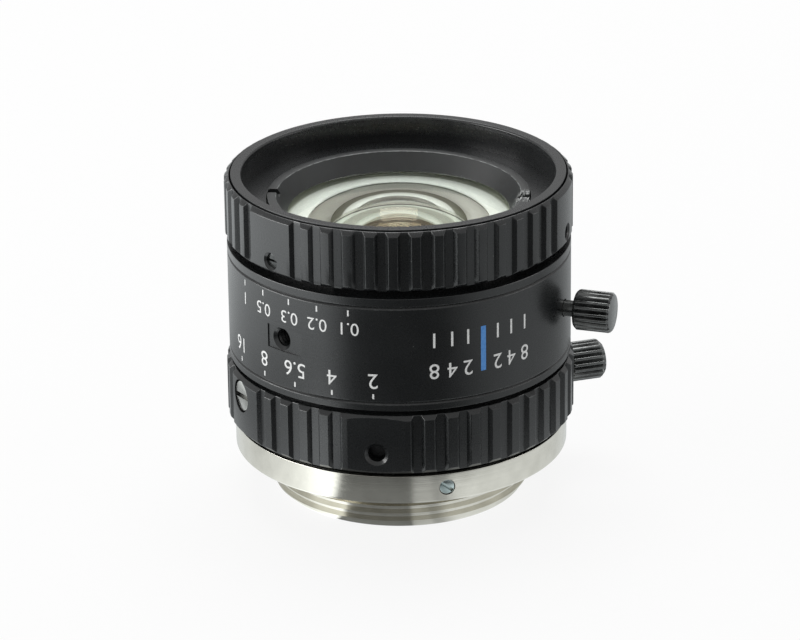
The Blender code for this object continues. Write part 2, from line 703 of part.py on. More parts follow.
def build_thumb_screw(name, bearing, height, tip, head_low, parent):
    """A knurled thumb screw along a bearing, with its origin on the screw's own axis."""
    form = bmesh.new()
    star = []
    for step in range(THUMB_KNURL_COUNT * 2):
        radius = THUMB_HEAD_RADIUS - (step % 2) * THUMB_KNURL_DEPTH
        angle = pi * step / THUMB_KNURL_COUNT
        star.append((radius * cos(angle), radius * sin(angle)))
    plate(form, star, 0, THUMB_HEAD_LENGTH)
    bmesh.ops.recalc_face_normals(form, faces=form.faces)
    mesh = bpy.data.meshes.new(name)
    form.to_mesh(mesh)
    form.free()
    seat = Vector((sin(radians(bearing)), -cos(radians(bearing)), 0)) * head_low
    screw = add_piece(name, mesh, blackened_steel(name), parent,
                      (seat.x, seat.y, height), (radians(90), 0, radians(bearing)))
    shank = bmesh.new()
    drill(shank, bearing, height, THUMB_SHANK_RADIUS, tip, head_low + THUMB_HEAD_LENGTH / 2)
    combine(screw, add_cutter(name + "_shank", shank), "UNION")


def build_focus_ring(focus):
    outline = ring_outline(focus_ring_radius, focus_low, focus_top, focus_ring_bore)
    outline[5:] = [
        (focus_ring_bore, counterbore_low),
        (counterbore_radius, counterbore_low),
        (counterbore_radius, focus_top),
    ]
    ring = turned("focus_ring", outline, RIB_RING_STEPS, black_anodised("focus_ring"), focus)
    bearings = spaced(FOCUS_GROOVE_FIRST, FOCUS_GROOVE_LAST, FOCUS_GROOVE_COUNT)
    combine(ring, rib_grooves("focus_grooves", bearings, focus_ring_radius, focus_low, focus_top))
    holes = bmesh.new()
    for bearing in FOCUS_SCREW_BEARINGS:
        drill(holes, bearing, focus_screw_z, FOCUS_SCREW_RADIUS + HOLE_GAP,
              helicoid_radius, focus_ring_radius + SEAT_GAP)
    combine(ring, add_cutter("focus_screw_holes", holes))
    slotted_screws("focus_ring_set_screw", FOCUS_SCREW_BEARINGS, focus_screw_z, FOCUS_SCREW_RADIUS,
                   focus_ring_bore - PRESS_GAP, focus_ring_radius - FOCUS_SCREW_SINK, focus)


def build_focus_helicoid(focus):
    foot_radius = focus_ring_bore - RUNNING_GAP
    outline = [
        (foot_radius, helicoid_flange_top),
        (foot_radius, helicoid_flange_low),
        (helicoid_radius, helicoid_flange_low),
        (helicoid_radius, skirt_low),
        (helicoid_bore, skirt_low),
        (helicoid_bore, helicoid_flange_top),
    ]
    turned("focus_helicoid", outline, SLEEVE_STEPS, black_anodised("focus_helicoid"), focus)


def build_front_barrel(cell):
    outline = [
        (rim_radius, rim_top),
        (rim_radius, rim_low),
        (skirt_radius, rim_low),
        (skirt_radius, skirt_low),
        (socket_radius, skirt_low),
        (socket_radius, socket_top),
        (second_bore_radius, socket_top),
        (second_bore_radius, front_seat_low),
        (front_seat_radius, front_seat_low),
        (front_seat_radius, cavity_floor),
        (filter_radius, cavity_floor),
        (filter_radius, rim_top),
    ]
    turned("front_barrel", outline, OUTER_STEPS, black_anodised("front_barrel"), cell)


def build_front_group(cell):
    retainer_top = cavity_floor + RETAINER_PROUD
    front_crown = cavity_floor - BLADE_GAP
    at_retainer = front_crown - sag(retainer_glass_radius, front_lens_radius, FRONT_LENS_BOW)
    at_edge = front_crown - FRONT_LENS_BOW
    outline = [
        (retainer_top_radius, retainer_top),
        (retainer_radius, retainer_top),
        (retainer_radius, at_edge + SEAT_GAP),
        (retainer_glass_radius, at_retainer + SEAT_GAP / 2),
    ]
    ring = turned("front_retaining_ring", outline, SLEEVE_STEPS,
                  black_anodised("front_retaining_ring"), cell)
    notches = bmesh.new()
    for bearing in RETAINER_NOTCH_BEARINGS:
        block(notches, bearing, (-RETAINER_NOTCH_WIDTH / 2, RETAINER_NOTCH_WIDTH / 2),
              (retainer_top - RETAINER_NOTCH_DEPTH, retainer_top + SEAT_GAP),
              (retainer_glass_radius, retainer_radius + SEAT_GAP))
    combine(ring, add_cutter("retaining_ring_notches", notches))

    inner_crown = front_seat_low + SEAT_GAP + FRONT_LENS_HOLLOW
    outline = lens_outline(front_crown, FRONT_LENS_BOW, front_lens_radius,
                           inner_crown, -FRONT_LENS_HOLLOW, front_lens_radius - FRONT_LENS_FLAT,
                           front_lens_radius, 3)
    turned("front_lens", outline, SLEEVE_STEPS, optical_glass("front_lens"), cell)

    radius = second_bore_radius - SEAT_GAP
    low = cell_top + SEAT_GAP
    outline = lens_outline(low + SECOND_LENS_HEIGHT, SECOND_LENS_BOW, radius,
                           low + SECOND_LENS_HOLLOW, -SECOND_LENS_HOLLOW, radius - SECOND_LENS_FLAT, radius)
    turned("second_lens", outline, LENS_STEPS, optical_glass("second_lens"), cell)


def build_middle_cell(cell):
    spigot = cavity_radius - RUNNING_GAP
    outline = [
        (upper_spigot_radius, cell_top),
        (upper_spigot_radius, cell_flange_top),
        (housing_radius, cell_flange_top),
        (housing_radius, cell_flange_low),
        (spigot, cell_flange_low),
        (spigot, cell_low),
        (cell_seat_radius, cell_low),
        (cell_seat_radius, cell_seat_z),
        (cell_bore_radius, cell_seat_z),
        (cell_bore_radius, cell_top),
    ]
    turned("middle_cell", outline, LENS_STEPS, black_anodised("middle_cell"), cell)

    outline = [
        (helicoid_radius - RUNNING_GAP, helicoid_retainer_top),
        (helicoid_radius - RUNNING_GAP, helicoid_retainer_low),
        (upper_spigot_radius + RUNNING_GAP, helicoid_retainer_low),
        (upper_spigot_radius + RUNNING_GAP, helicoid_retainer_top),
    ]
    turned("helicoid_retainer", outline, INNER_STEPS, bare_brass("helicoid_retainer"), cell)

    radius = cell_bore_radius - SEAT_GAP
    low = cell_seat_z + RUNNING_GAP - sag(cell_seat_radius, radius, THIRD_LENS_REAR_BOW)
    crown = low + THIRD_LENS_THICKNESS
    outline = lens_outline(crown, THIRD_LENS_FRONT_BOW, radius, low, THIRD_LENS_REAR_BOW, radius, radius)
    turned("third_lens", outline, LENS_STEPS, optical_glass("third_lens"), cell)
    bore = cell_seat_radius
    ring_low = crown - sag(bore, radius, THIRD_LENS_FRONT_BOW) + RUNNING_GAP
    outline = [
        (cell_bore_radius - RUNNING_GAP, ring_low + THIRD_RETAINER_THICKNESS),
        (cell_bore_radius - RUNNING_GAP, ring_low),
        (bore, ring_low),
        (bore, ring_low + THIRD_RETAINER_THICKNESS),
    ]
    turned("third_lens_retainer", outline, LENS_STEPS, black_anodised("third_lens_retainer"), cell)


def build_rear_barrel(cell):
    outline = [
        (housing_radius, shoulder_z),
        (housing_radius, housing_low),
        (rear_tube_radius, housing_low),
        (rear_tube_radius, rear_low),
        (rear_bore_radius, rear_low),
        (rear_bore_radius, doublet_seat_z),
        (doublet_seat_radius, doublet_seat_z),
        (doublet_seat_radius, housing_floor),
        (cavity_radius, housing_floor),
        (cavity_radius, shoulder_z),
    ]
    body = turned("rear_barrel", outline, INNER_STEPS, black_anodised("rear_barrel"), cell)
    slots = bmesh.new()
    pin = IRIS_DRIVE_PIN_RADIUS + RUNNING_GAP
    room = degrees((IRIS_DRIVE_PIN_RADIUS + SEAT_GAP) / cavity_radius)
    inner, outer = collar_bore, housing_bore
    sector(slots, IRIS_DRIVE_BEARING - room, IRIS_DRIVE_BEARING + IRIS_TURN + room,
           inner, outer, drive_z - pin - travel_up, drive_z + pin + travel_down)
    guide = GUIDE_PIN_RADIUS + RUNNING_GAP
    block(slots, GUIDE_PIN_BEARING, (-guide, guide),
          (guide_pin_z - guide - travel_up, guide_pin_z + guide + travel_down), (inner, outer))
    combine(body, add_cutter("rear_barrel_slots", slots))


def blade_angle(index):
    """Where a blade's pivot stands, as an angle from +X. The cam ring's notch falls between slots."""
    slot_start = degrees(atan2(BLADE_ARM * sin(radians(BLADE_ARM_ANGLE)),
                               blade_pivot_radius + BLADE_ARM * cos(radians(BLADE_ARM_ANGLE))))
    pitch = 360 / BLADE_COUNT
    web_middle = slot_start + (pitch - IRIS_TURN) / 2
    return IRIS_DRIVE_BEARING - 90 - web_middle + index * pitch


def arm_end(swing):
    """A blade's drive pin, in the blade's own directions from the optical axis."""
    angle = radians(BLADE_ARM_ANGLE + swing)
    return Vector((blade_pivot_radius + BLADE_ARM * cos(angle), BLADE_ARM * sin(angle)))


def blade_outline():
    """A crescent with a lug at its root for the pivot and the drive pin, about the pivot."""
    width = blade_outer_radius - blade_inner_radius
    middle = blade_outer_radius - width / 2
    spread = radians(BLADE_SPREAD)
    tip = (middle * cos(spread), middle * sin(spread))
    outline = arc((0, 0), blade_outer_radius, BLADE_OUTER_START, BLADE_SPREAD, BLADE_ARC_POINTS)
    outline += arc(tip, width / 2, BLADE_SPREAD, BLADE_SPREAD + 180, BLADE_TIP_POINTS)[1:-1]
    outline += arc((0, 0), blade_inner_radius, BLADE_SPREAD, BLADE_INNER_END, BLADE_ARC_POINTS)
    outline += arc(arm_end(0), BLADE_LUG_RADIUS, *DRIVE_LUG_ARC, BLADE_LUG_POINTS)
    outline += arc((blade_pivot_radius, 0), BLADE_LUG_RADIUS, *PIVOT_LUG_ARC, BLADE_LUG_POINTS)
    return [(x - blade_pivot_radius, y) for x, y in outline]


def build_iris(cell):
    outline = [
        (cavity_radius - RUNNING_GAP, iris_base_top),
        (cavity_radius - RUNNING_GAP, iris_base_low),
        (iris_aperture_radius, iris_base_low),
        (iris_aperture_radius, iris_base_top),
    ]
    base = turned("iris_base", outline, LENS_STEPS, bare_brass("iris_base"), cell)
    holes = bmesh.new()
    slots = bmesh.new()
    for index in range(BLADE_COUNT):
        angle = blade_angle(index)
        turn = Matrix.Rotation(radians(angle), 4, "Z")
        pivot = turn @ Vector((blade_pivot_radius, 0, 0))
        build_blade(index, angle, pivot, cell)
        place = Matrix.Translation((pivot.x, pivot.y, (iris_base_low + iris_base_top) / 2))
        hole = BLADE_PIN_RADIUS + BLADE_GAP
        bmesh.ops.create_cone(holes, cap_ends=True, segments=PIN_SIDES, radius1=hole, radius2=hole,
                              depth=IRIS_BASE_THICKNESS * 2, matrix=place)
        plate(slots, cam_slot(angle), cam_low - SEAT_GAP, cam_plate_top + BLADE_GAP)
    combine(base, add_cutter("blade_pivot_holes", holes))
    build_cam_ring(slots, cell)


def build_blade(index, angle, pivot, cell):
    """One blade on its own level, with its pivot pin down in the base and its drive pin up in a slot."""
    low = iris_base_top + BLADE_GAP + index * blade_pitch
    form = bmesh.new()
    plate(form, blade_outline(), 0, BLADE_THICKNESS)
    bmesh.ops.recalc_face_normals(form, faces=form.faces)
    name = f"iris_blade_{index + 1}"
    mesh = bpy.data.meshes.new(name)
    form.to_mesh(mesh)
    form.free()
    frame = add_empty(f"{name}_pivot", (pivot.x, pivot.y, low), cell)
    frame.rotation_euler.z = radians(angle)
    blade = add_piece(name, mesh, blackened_steel(name), frame)
    pins = bmesh.new()
    turn = Matrix.Rotation(radians(angle), 4, "Z")
    drive = turn @ Vector((*arm_end(0), 0))
    middle = low + BLADE_THICKNESS / 2
    for spot, bottom, top in ((pivot, iris_base_low + BLADE_GAP, middle),
                              (drive, middle, cam_plate_top - BLADE_GAP)):
        place = Matrix.Translation((spot.x, spot.y, (bottom + top) / 2))
        bmesh.ops.create_cone(pins, cap_ends=True, segments=PIN_SIDES, radius1=BLADE_PIN_RADIUS,
                              radius2=BLADE_PIN_RADIUS, depth=top - bottom, matrix=place)
    combine(blade, add_cutter(f"{name}_pins", pins), "UNION")


def cam_slot(angle):
    """The slot that a drive pin follows while the cam ring turns and the blade swings with it."""
    path = []
    for step in range(CAM_SLOT_POINTS):
        share = step / (CAM_SLOT_POINTS - 1)
        turn = Matrix.Rotation(radians(angle - IRIS_TURN * share), 2)
        path.append(turn @ arm_end(BLADE_SWING * share))
    half = BLADE_PIN_RADIUS + BLADE_GAP
    left, right = [], []
    for step, point in enumerate(path):
        along = (path[min(step + 1, CAM_SLOT_POINTS - 1)] - path[max(step - 1, 0)]).normalized()
        side = Vector((-along.y, along.x)) * half
        left.append(point + side)
        right.append(point - side)
    start = (path[0] - path[1]).normalized()
    end = (path[-1] - path[-2]).normalized()
    start_angle = degrees(atan2(start.y, start.x))
    end_angle = degrees(atan2(end.y, end.x))
    cap = CAM_SLOT_CAP_HALF_ANGLE
    start_cap = arc(path[0], half, start_angle + cap, start_angle - cap, CAM_SLOT_CAP_POINTS)
    end_cap = arc(path[-1], half, end_angle + cap, end_angle - cap, CAM_SLOT_CAP_POINTS)
    return list(right) + end_cap[::-1] + left[::-1] + start_cap[::-1]


def build_cam_ring(slots, cell):
    collar_top = cam_plate_top + CAM_COLLAR_HEIGHT
    outline = [
        (cam_radius, collar_top),
        (cam_radius, cam_low),
        (cam_bore_radius, cam_low),
        (cam_bore_radius, cam_plate_top),
        (collar_bore, cam_plate_top),
        (collar_bore, collar_top),
    ]
    ring = turned("iris_cam_ring", outline, INNER_STEPS, bare_brass("iris_cam_ring"), cell)
    combine(ring, add_cutter("cam_slots", slots))
    notch = bmesh.new()
    half = IRIS_DRIVE_PIN_RADIUS + BLADE_GAP
    block(notch, IRIS_DRIVE_BEARING, (-half, half), (cam_low - SEAT_GAP, collar_top + SEAT_GAP),
          (collar_bore - BLADE_GAP, cam_radius + SEAT_GAP))
    combine(ring, add_cutter("cam_notch", notch))


def build_rear_group(cell):
    radius = rear_bore_radius - SEAT_GAP
    outline = lens_outline(doublet_top, -DOUBLET_HOLLOW, radius - DOUBLET_FLAT,
                           cement_z, -DOUBLET_CEMENT_BOW, radius, radius)
    turned("doublet_front_lens", outline, LENS_STEPS, optical_glass("doublet_front_lens"), cell)

    outline = lens_outline(doublet_rear_top, DOUBLET_CEMENT_BOW, radius,
                           doublet_low, DOUBLET_REAR_BOW, radius, radius)
    turned("doublet_rear_lens", outline, LENS_STEPS, optical_glass("doublet_rear_lens"), cell)

    bore = radius - REAR_RING_WIDTH
    spacer_low = rear_lens_top - sag(bore, radius, REAR_LENS_FRONT_BOW) + RUNNING_GAP
    outline = [
        (radius + BLADE_GAP, doublet_low + DOUBLET_REAR_BOW - RUNNING_GAP),
        (radius + BLADE_GAP, spacer_low),
        (bore, spacer_low),
        (bore, doublet_low + sag(bore, radius, DOUBLET_REAR_BOW) - RUNNING_GAP),
    ]
    turned("rear_lens_spacer", outline, LENS_STEPS, black_anodised("rear_lens_spacer"), cell)

    outline = lens_outline(rear_lens_top, REAR_LENS_FRONT_BOW, radius,
                           rear_lens_low, REAR_LENS_REAR_BOW, radius, radius, 1)
    turned("rear_lens", outline, LENS_STEPS, optical_glass("rear_lens"), cell)

    outline = [
        (rear_bore_radius - RUNNING_GAP, rear_lens_low - BLADE_GAP),
        (rear_bore_radius - RUNNING_GAP, rear_low + BLADE_GAP),
        (bore - SEAT_GAP, rear_low + BLADE_GAP),
        (bore - SEAT_GAP, rear_lens_low - BLADE_GAP),
    ]
    turned("rear_retaining_ring", outline, LENS_STEPS, black_anodised("rear_retaining_ring"), cell)


def settle(piece):
    """Keep what the modifiers make as the piece's own mesh, smooth with creases at its corners."""
    graph = bpy.context.evaluated_depsgraph_get()
    solid = bpy.data.meshes.new_from_object(piece.evaluated_get(graph))
    solid.shade_smooth()
    solid.set_sharp_from_angle(angle=radians(SMOOTH_UP_TO_ANGLE))
    piece.modifiers.clear()
    piece.data = solid


def build_lens():
    barrel = add_empty("barrel_frame")
    cell = add_empty("lens_cell_frame", parent=barrel)
    focus = add_empty("focus_frame", parent=cell)
    iris = add_empty("iris_ring_frame", parent=barrel)
    build_mount_ring(barrel)
    build_main_barrel(barrel)
    build_thumb_screw("focus_lock_screw", FOCUS_LOCK_BEARING, focus_lock_z,
                      helicoid_radius + BLADE_GAP, barrel_radius + FOCUS_LOCK_STAND_OFF, barrel)
    build_iris_ring(iris)
    build_iris_drive_screw(iris)
    build_thumb_screw("iris_lock_screw", IRIS_LOCK_BEARING, iris_hole_z,
                      neck_radius + BLADE_GAP, iris_ring_radius + IRIS_LOCK_STAND_OFF, iris)
    build_focus_ring(focus)
    build_focus_helicoid(focus)
    build_front_barrel(cell)
    build_front_group(cell)
    build_middle_cell(cell)
    build_rear_barrel(cell)
    build_iris(cell)
    build_rear_group(cell)
    bpy.context.view_layer.update()
    for piece in parts.objects:
        if piece.type == "MESH":
            settle(piece)


build_lens()
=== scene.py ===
# %% [markdown]
# # A machine vision lens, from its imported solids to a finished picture
# The lens stands on the rear end of its mount thread, with the front glass up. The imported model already
# has every solid in its right place, so this lesson only makes what the eye needs: finer forms for the
# turned and ribbed pieces, the threads, the printed scale, the finishes, the light and the camera.

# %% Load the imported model
from math import cos, pi, radians, sin, sqrt

import bmesh
import bpy
from mathutils import Matrix, Vector


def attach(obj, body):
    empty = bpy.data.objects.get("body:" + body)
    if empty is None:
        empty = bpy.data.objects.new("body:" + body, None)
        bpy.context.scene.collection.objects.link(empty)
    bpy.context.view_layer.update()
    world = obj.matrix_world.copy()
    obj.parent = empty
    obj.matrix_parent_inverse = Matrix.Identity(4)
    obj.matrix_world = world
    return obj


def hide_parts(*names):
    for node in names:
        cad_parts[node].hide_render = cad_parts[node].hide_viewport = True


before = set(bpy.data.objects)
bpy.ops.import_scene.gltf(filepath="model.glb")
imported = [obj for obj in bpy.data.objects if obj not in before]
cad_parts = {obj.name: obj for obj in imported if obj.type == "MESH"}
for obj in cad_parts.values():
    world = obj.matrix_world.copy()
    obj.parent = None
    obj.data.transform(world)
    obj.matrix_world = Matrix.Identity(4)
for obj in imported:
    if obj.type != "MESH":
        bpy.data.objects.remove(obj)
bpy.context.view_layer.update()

# %% [markdown]
# ## Millimetres and bearings
# A lens is drawn in millimetres, and Blender works in metres, so the outlines below are typed in
# millimetres and scaled once, where their vertices are made. A place on the wall of the lens is given by
# a bearing: 0 faces the camera, and it grows to the right, anticlockwise seen from above.

# %% Millimetres and bearings
MM = 0.001


def radial(bearing, height):
    """The frame of a feature that points out of the wall: its Z is outward and its Y is up."""
    turn = Matrix.Rotation(radians(bearing), 4, "Z") @ Matrix.Rotation(radians(90), 4, "X")
    return Matrix.Translation((0, 0, height * MM)) @ turn


def bearing_of(point):
    """The bearing of a point, from 0 to 360 degrees."""
    return (Vector((0, -1)).angle_signed(Vector(point[:2])) * -180 / pi) % 360


print("a point to the right of the axis has the bearing", round(bearing_of((1, 0))))

# %% [markdown]
# ## Turning
# Nearly every piece of a lens is turned on a lathe, so one helper does the same: it spins an outline of
# (radius, height) round the axis. The spin is made of columns, each with its own angle, because the
# grooves of a ribbed ring need edges at uneven bearings. A solid of glass has an outline that starts and
# ends on the axis, so it isn't closed there.

# %% The lathe
COLUMNS = 144
MERGE_DISTANCE = 0.000002


def lathe(outline, columns=((360, COLUMNS),), closed=True):
    """Spin an outline in millimetres, by a list of (degrees, steps), into a watertight bmesh."""
    form = bmesh.new()
    corners = [form.verts.new((0, -radius * MM, height * MM)) for radius, height in outline]
    ends = corners[1:] + corners[:1] if closed else corners[1:]
    last = corners + [form.edges.new(pair) for pair in zip(corners, ends)]
    for degrees, steps in columns:
        last = bmesh.ops.spin(form, geom=last, axis=(0, 0, 1), angle=radians(degrees), steps=steps,
                              use_merge=False)["geom_last"]
    bmesh.ops.remove_doubles(form, verts=form.verts, dist=MERGE_DISTANCE)
    bmesh.ops.recalc_face_normals(form, faces=form.faces)
    return form


# %% [markdown]
# ## Broken edges
# A machinist breaks every outer corner, and there the black dye wears off first. The corners are rounded
# with a bevel of a few hundredths of a millimetre, which is what catches a line of light in a photograph.
# The bevel's faces carry a number, with which a finish paints them paler: partly the dye worn thin, partly a
# painted highlight along the edge.

# %% Break the edges
def break_edges(form, width=0.05, angle=25, segments=2):
    """Round the outer corners and mark the rounded faces for paler paint: partly wear, partly a painted
    highlight.
    """
    wear_and_highlight = form.faces.layers.float.get("wear_and_highlight") or form.faces.layers.float.new("wear_and_highlight")
    sharp = [edge for edge in form.edges
             if edge.is_manifold and edge.is_convex and edge.calc_face_angle(0) > radians(angle)]
    made = bmesh.ops.bevel(form, geom=sharp, affect="EDGES", offset=width * MM, offset_type="OFFSET",
                           segments=segments, profile=0.5, material=-1, clamp_overlap=True)
    for face in made["faces"]:
        face[wear_and_highlight] = 1.0
    return form


# %% [markdown]
# ## From a form to a piece
# A hole is drilled by a Boolean with a tool that is thrown away afterwards. The result is shaded smooth,
# with sharp edges where faces meet at more than a crease angle, and a Weighted Normal modifier keeps the big
# flat faces flat to the light although their rounded edges are smooth. Each piece then rides on the body
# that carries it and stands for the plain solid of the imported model. Some outlines have a point or two
# beside a hole, because a Boolean would otherwise draw long thin faces from the hole across the whole wall.

# %% Make a piece
def new_object(name, data):
    """Put new data into the scene as an object. A bmesh is made a mesh first."""
    if isinstance(data, bmesh.types.BMesh):
        form, data = data, bpy.data.meshes.new(name)
        form.to_mesh(data)
        form.free()
    made = bpy.data.objects.new(name, data)
    bpy.context.scene.collection.objects.link(made)
    return made


def make_piece(name, form, finish, body, nodes, tools=(), crease=32):
    """Turn a bmesh into a finished piece, cut by its tools, in the place of its solids."""
    piece = new_object(name, form)
    for tool in tools:
        cut = piece.modifiers.new(tool.name, "BOOLEAN")
        cut.object, cut.operation, cut.solver = tool, "DIFFERENCE", "EXACT"
    graph = bpy.context.evaluated_depsgraph_get()
    piece.data = bpy.data.meshes.new_from_object(piece.evaluated_get(graph))
    piece.modifiers.clear()
    for tool in tools:
        bpy.data.objects.remove(tool)
    piece.data.name = name
    piece.data.materials.clear()
    piece.data.materials.append(finish)
    piece.data.shade_smooth()
    piece.data.set_sharp_from_angle(angle=radians(crease))
    even = piece.modifiers.new("even_shading", "WEIGHTED_NORMAL")
    even.keep_sharp = True
    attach(piece, body)
    if nodes:
        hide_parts(*nodes)
    print(name, "has", len(piece.data.polygons), "faces")
    return piece


def make_tool(name, form):
    """Keep a bmesh as a hidden tool for a Boolean."""
    bmesh.ops.recalc_face_normals(form, faces=form.faces)
    return new_object(name, form)


# %% [markdown]
# ## Drills, taps and a milling cutter
# A tapped hole shows its thread as bright and dark rings on its wall. A straight bar would leave a smooth
# hole, so the tap is a bar with a saw-toothed outline. A mouth is a short cone that opens the hole.

# %% Drills and taps
def bar(bearing, height, outline, sides=40):
    """A turned bar along a bearing, from an outline of (radius, distance from the lens axis)."""
    ends = [(0, outline[0][1])] + list(outline) + [(0, outline[-1][1])]
    form = lathe(ends, ((360, sides),), closed=False)
    bmesh.ops.transform(form, matrix=radial(bearing, height), verts=form.verts)
    return form


TAP_RADIUS = 0.85
TAP_PITCH = 0.4
TAP_TOOTH = 0.12
MOUTH_RADIUS = 1.15


def tap(bearing, height, start, surface):
    """A tap for a threaded hole, with a mouth where it meets the surface."""
    inside = surface - (MOUTH_RADIUS - TAP_RADIUS)
    outline = []
    for turn in range(int((inside - start) / TAP_PITCH)):
        outline += [(TAP_RADIUS, start + turn * TAP_PITCH),
                    (TAP_RADIUS + TAP_TOOTH, start + (turn + 0.5) * TAP_PITCH)]
    outline += [(TAP_RADIUS, inside), (MOUTH_RADIUS, surface), (MOUTH_RADIUS, surface + 0.6)]
    return make_tool("tap", bar(bearing, height, outline))


def drill(bearing, height, radius, start, end):
    """A plain drill between two distances from the lens axis."""
    return make_tool("drill", bar(bearing, height, [(radius, start), (radius, end)]))


def mill(bearing, sideways, upright, outward):
    """A box-shaped cutter: three pairs of limits in millimetres, seen from outside the wall."""
    spans = (sideways, upright, outward)
    middle = Matrix.Translation([(low + high) / 2 * MM for low, high in spans])
    size = Matrix.Diagonal([(high - low) * MM for low, high in spans] + [1])
    form = bmesh.new()
    bmesh.ops.create_cube(form, size=1, matrix=radial(bearing, 0) @ middle @ size)
    return form


def slot_mill(first, last, inner, outer, low, high):
    """A curved slot cutter between two bearings: a face that is spun round the axis."""
    form = bmesh.new()
    corners = [form.verts.new((0, -radius * MM, height * MM))
               for radius, height in ((inner, low), (outer, low), (outer, high), (inner, high))]
    face = form.faces.new(corners)
    bmesh.ops.rotate(form, verts=corners, matrix=Matrix.Rotation(radians(first), 3, "Z"))
    bmesh.ops.spin(form, geom=[face], axis=(0, 0, 1), angle=radians(last - first), steps=24, use_merge=False)
    return make_tool("slot_mill", form)


# %% [markdown]
# ## Colours and nodes
# Colours are written as the hex values that a paint program shows and turned to linear light once. One
# small function adds any node: each value is linked if it comes from another node and set if it doesn't,
# so a finish reads as a short list from its patterns to its shader.

# %% Colours and nodes
def linear(code):
    """An sRGB hex colour as the linear colour that a shader takes."""
    shares = [int(code[place:place + 2], 16) / 255 for place in (0, 2, 4)]
    return [share / 12.92 if share < 0.04045 else ((share + 0.055) / 1.055) ** 2.4 for share in shares] + [1]


def add(tree, kind, values, out=0):
    """Add a node and return an output. Values are sockets to link, hex colours, or plain settings."""
    node = tree.nodes.new("ShaderNode" + kind)
    for name, value in values.items():
        if isinstance(value, bpy.types.NodeSocket):
            tree.links.new(value, node.inputs[name])
        elif isinstance(name, str) and hasattr(node, name):
            setattr(node, name, value)
        else:
            node.inputs[name].default_value = linear(value) if isinstance(value, str) else value
    return node.outputs[out] if len(node.outputs) else None


def new_finish(name):
    """An empty material, its nodes, and the object's own coordinates in millimetres."""
    finish = bpy.data.materials.new(name)
    finish.use_nodes = True
    tree = finish.node_tree
    tree.nodes.clear()
    place = add(tree, "TexCoord", {}, "Object")
    return finish, tree, add(tree, "VectorMath", {"operation": "SCALE", 0: place, "Scale": 1 / MM})


# %% [markdown]
# ## Tool marks
# A lathe leaves fine rings that run round the axis. They are noise that is read only by radius and height,
# which is the same all round, so it turns into rings on a wall and circles on a face. The real marks are a
# few hundredths of a millimetre apart, too fine for this picture, so they are drawn at 0.09 mm. Noise runs
# from 0 to 1 but seldom leaves its middle, so the finishes stretch that part.

# %% Tool marks and patches
TOOL_MARK = 0.09
NOISE_MIDDLE = {"From Min": 0.3, "From Max": 0.7}


def axis_distance(tree, place):
    """The distance from the lens axis in millimetres."""
    flat = add(tree, "VectorMath", {"operation": "MULTIPLY", 0: place, 1: (1, 1, 0)})
    return add(tree, "VectorMath", {"operation": "LENGTH", 0: flat}, "Value")


def tool_marks(tree, place, pitch=TOOL_MARK):
    """Noise in rings round the lens axis, from 0 to 1."""
    height = add(tree, "SeparateXYZ", {0: place}, "Z")
    rings = add(tree, "CombineXYZ", {"X": axis_distance(tree, place), "Y": height})
    return add(tree, "TexNoise", {"noise_dimensions": "2D", "Vector": rings, "Scale": 1 / pitch,
                                  "Detail": 2.0}, "Fac")


def patchy(tree, place, size, detail, first, second):
    """Two tints in soft patches of a real size in millimetres."""
    patches = add(tree, "TexNoise", {"Vector": place, "Scale": 1 / size, "Detail": detail}, "Fac")
    amount = add(tree, "MapRange", {"Value": patches, **NOISE_MIDDLE})
    return add(tree, "Mix", {"data_type": "RGBA", 0: amount, 6: first, 7: second}, 2)


# %% [markdown]
# ## Black anodised aluminium
# The body of the lens is aluminium, turned, lightly blasted and dyed black in an acid bath. The oxide is a
# clear hard layer, so it reflects like a dielectric of index about 1.65 and not like bare metal, and the
# blasting under it spreads the highlight into a satin sheen. On broken edges a paler grey is painted in short
# runs, partly as dye worn thin over the grey metal and partly as a painted highlight along the edge, and a
# little dust lies on it. Where a tool has slipped, the dye has flaked off round one spot and the metal
# shines through.

# %% Paler edges, partly wear and partly painted highlight, chips and dust
PALE_EDGE_RUN = 0.7
FLAKE = 0.25
FLAKED_PART = (0.50, 0.58)
CHIP_REACH = (0.4, 1.9)
BARE_METAL = "dcdedd"
DUST_SPACING = 1.3
DUST_RADIUS = (0.020, 0.035)
DUSTLESS_SHARE = 0.80
DUST = "8c8f8d"


def wear_and_edge_highlight(tree, place, dye, edge, pale_runs, chip):
    """Paint broken edges paler in short runs, partly as thin dye and partly as a painted highlight, and flake
    the dye off round a chip.
    """
    wear_and_highlight = add(tree, "Attribute", {"attribute_name": "wear_and_highlight"}, "Fac")
    breaks = add(tree, "TexNoise", {"Vector": place, "Scale": 1 / PALE_EDGE_RUN, "Detail": 4.0}, "Fac")
    runs = add(tree, "MapRange", {"Value": breaks, "From Min": pale_runs[0], "From Max": pale_runs[1]})
    if chip:
        off = add(tree, "VectorMath", {"operation": "DISTANCE", 0: place, 1: chip}, "Value")
        close = add(tree, "MapRange", {"Value": off, "From Min": CHIP_REACH[1], "From Max": CHIP_REACH[0]})
        scabs = add(tree, "TexNoise", {"Vector": place, "Scale": 1 / FLAKE, "Detail": 4.0}, "Fac")
        torn = add(tree, "MapRange", {"Value": scabs, "From Min": FLAKED_PART[0], "From Max": FLAKED_PART[1]})
        flakes = add(tree, "Math", {"operation": "MULTIPLY", 0: close, 1: torn})
        runs = add(tree, "Math", {"operation": "ADD", "use_clamp": True, 0: runs, 1: close})
        wear_and_highlight = add(tree, "Math", {"operation": "MAXIMUM", 0: wear_and_highlight, 1: flakes})
    thin = add(tree, "Math", {"operation": "MULTIPLY", 0: wear_and_highlight, 1: runs})
    # The edge colour on the bevels is partly worn dye and partly a painted highlight.
    edges_worn_and_lit = add(tree, "Mix", {"data_type": "RGBA", 0: thin, 6: dye, 7: edge}, 2)
    return add(tree, "Mix", {"data_type": "RGBA", 0: flakes, 6: edges_worn_and_lit, 7: BARE_METAL}, 2) if chip else edges_worn_and_lit


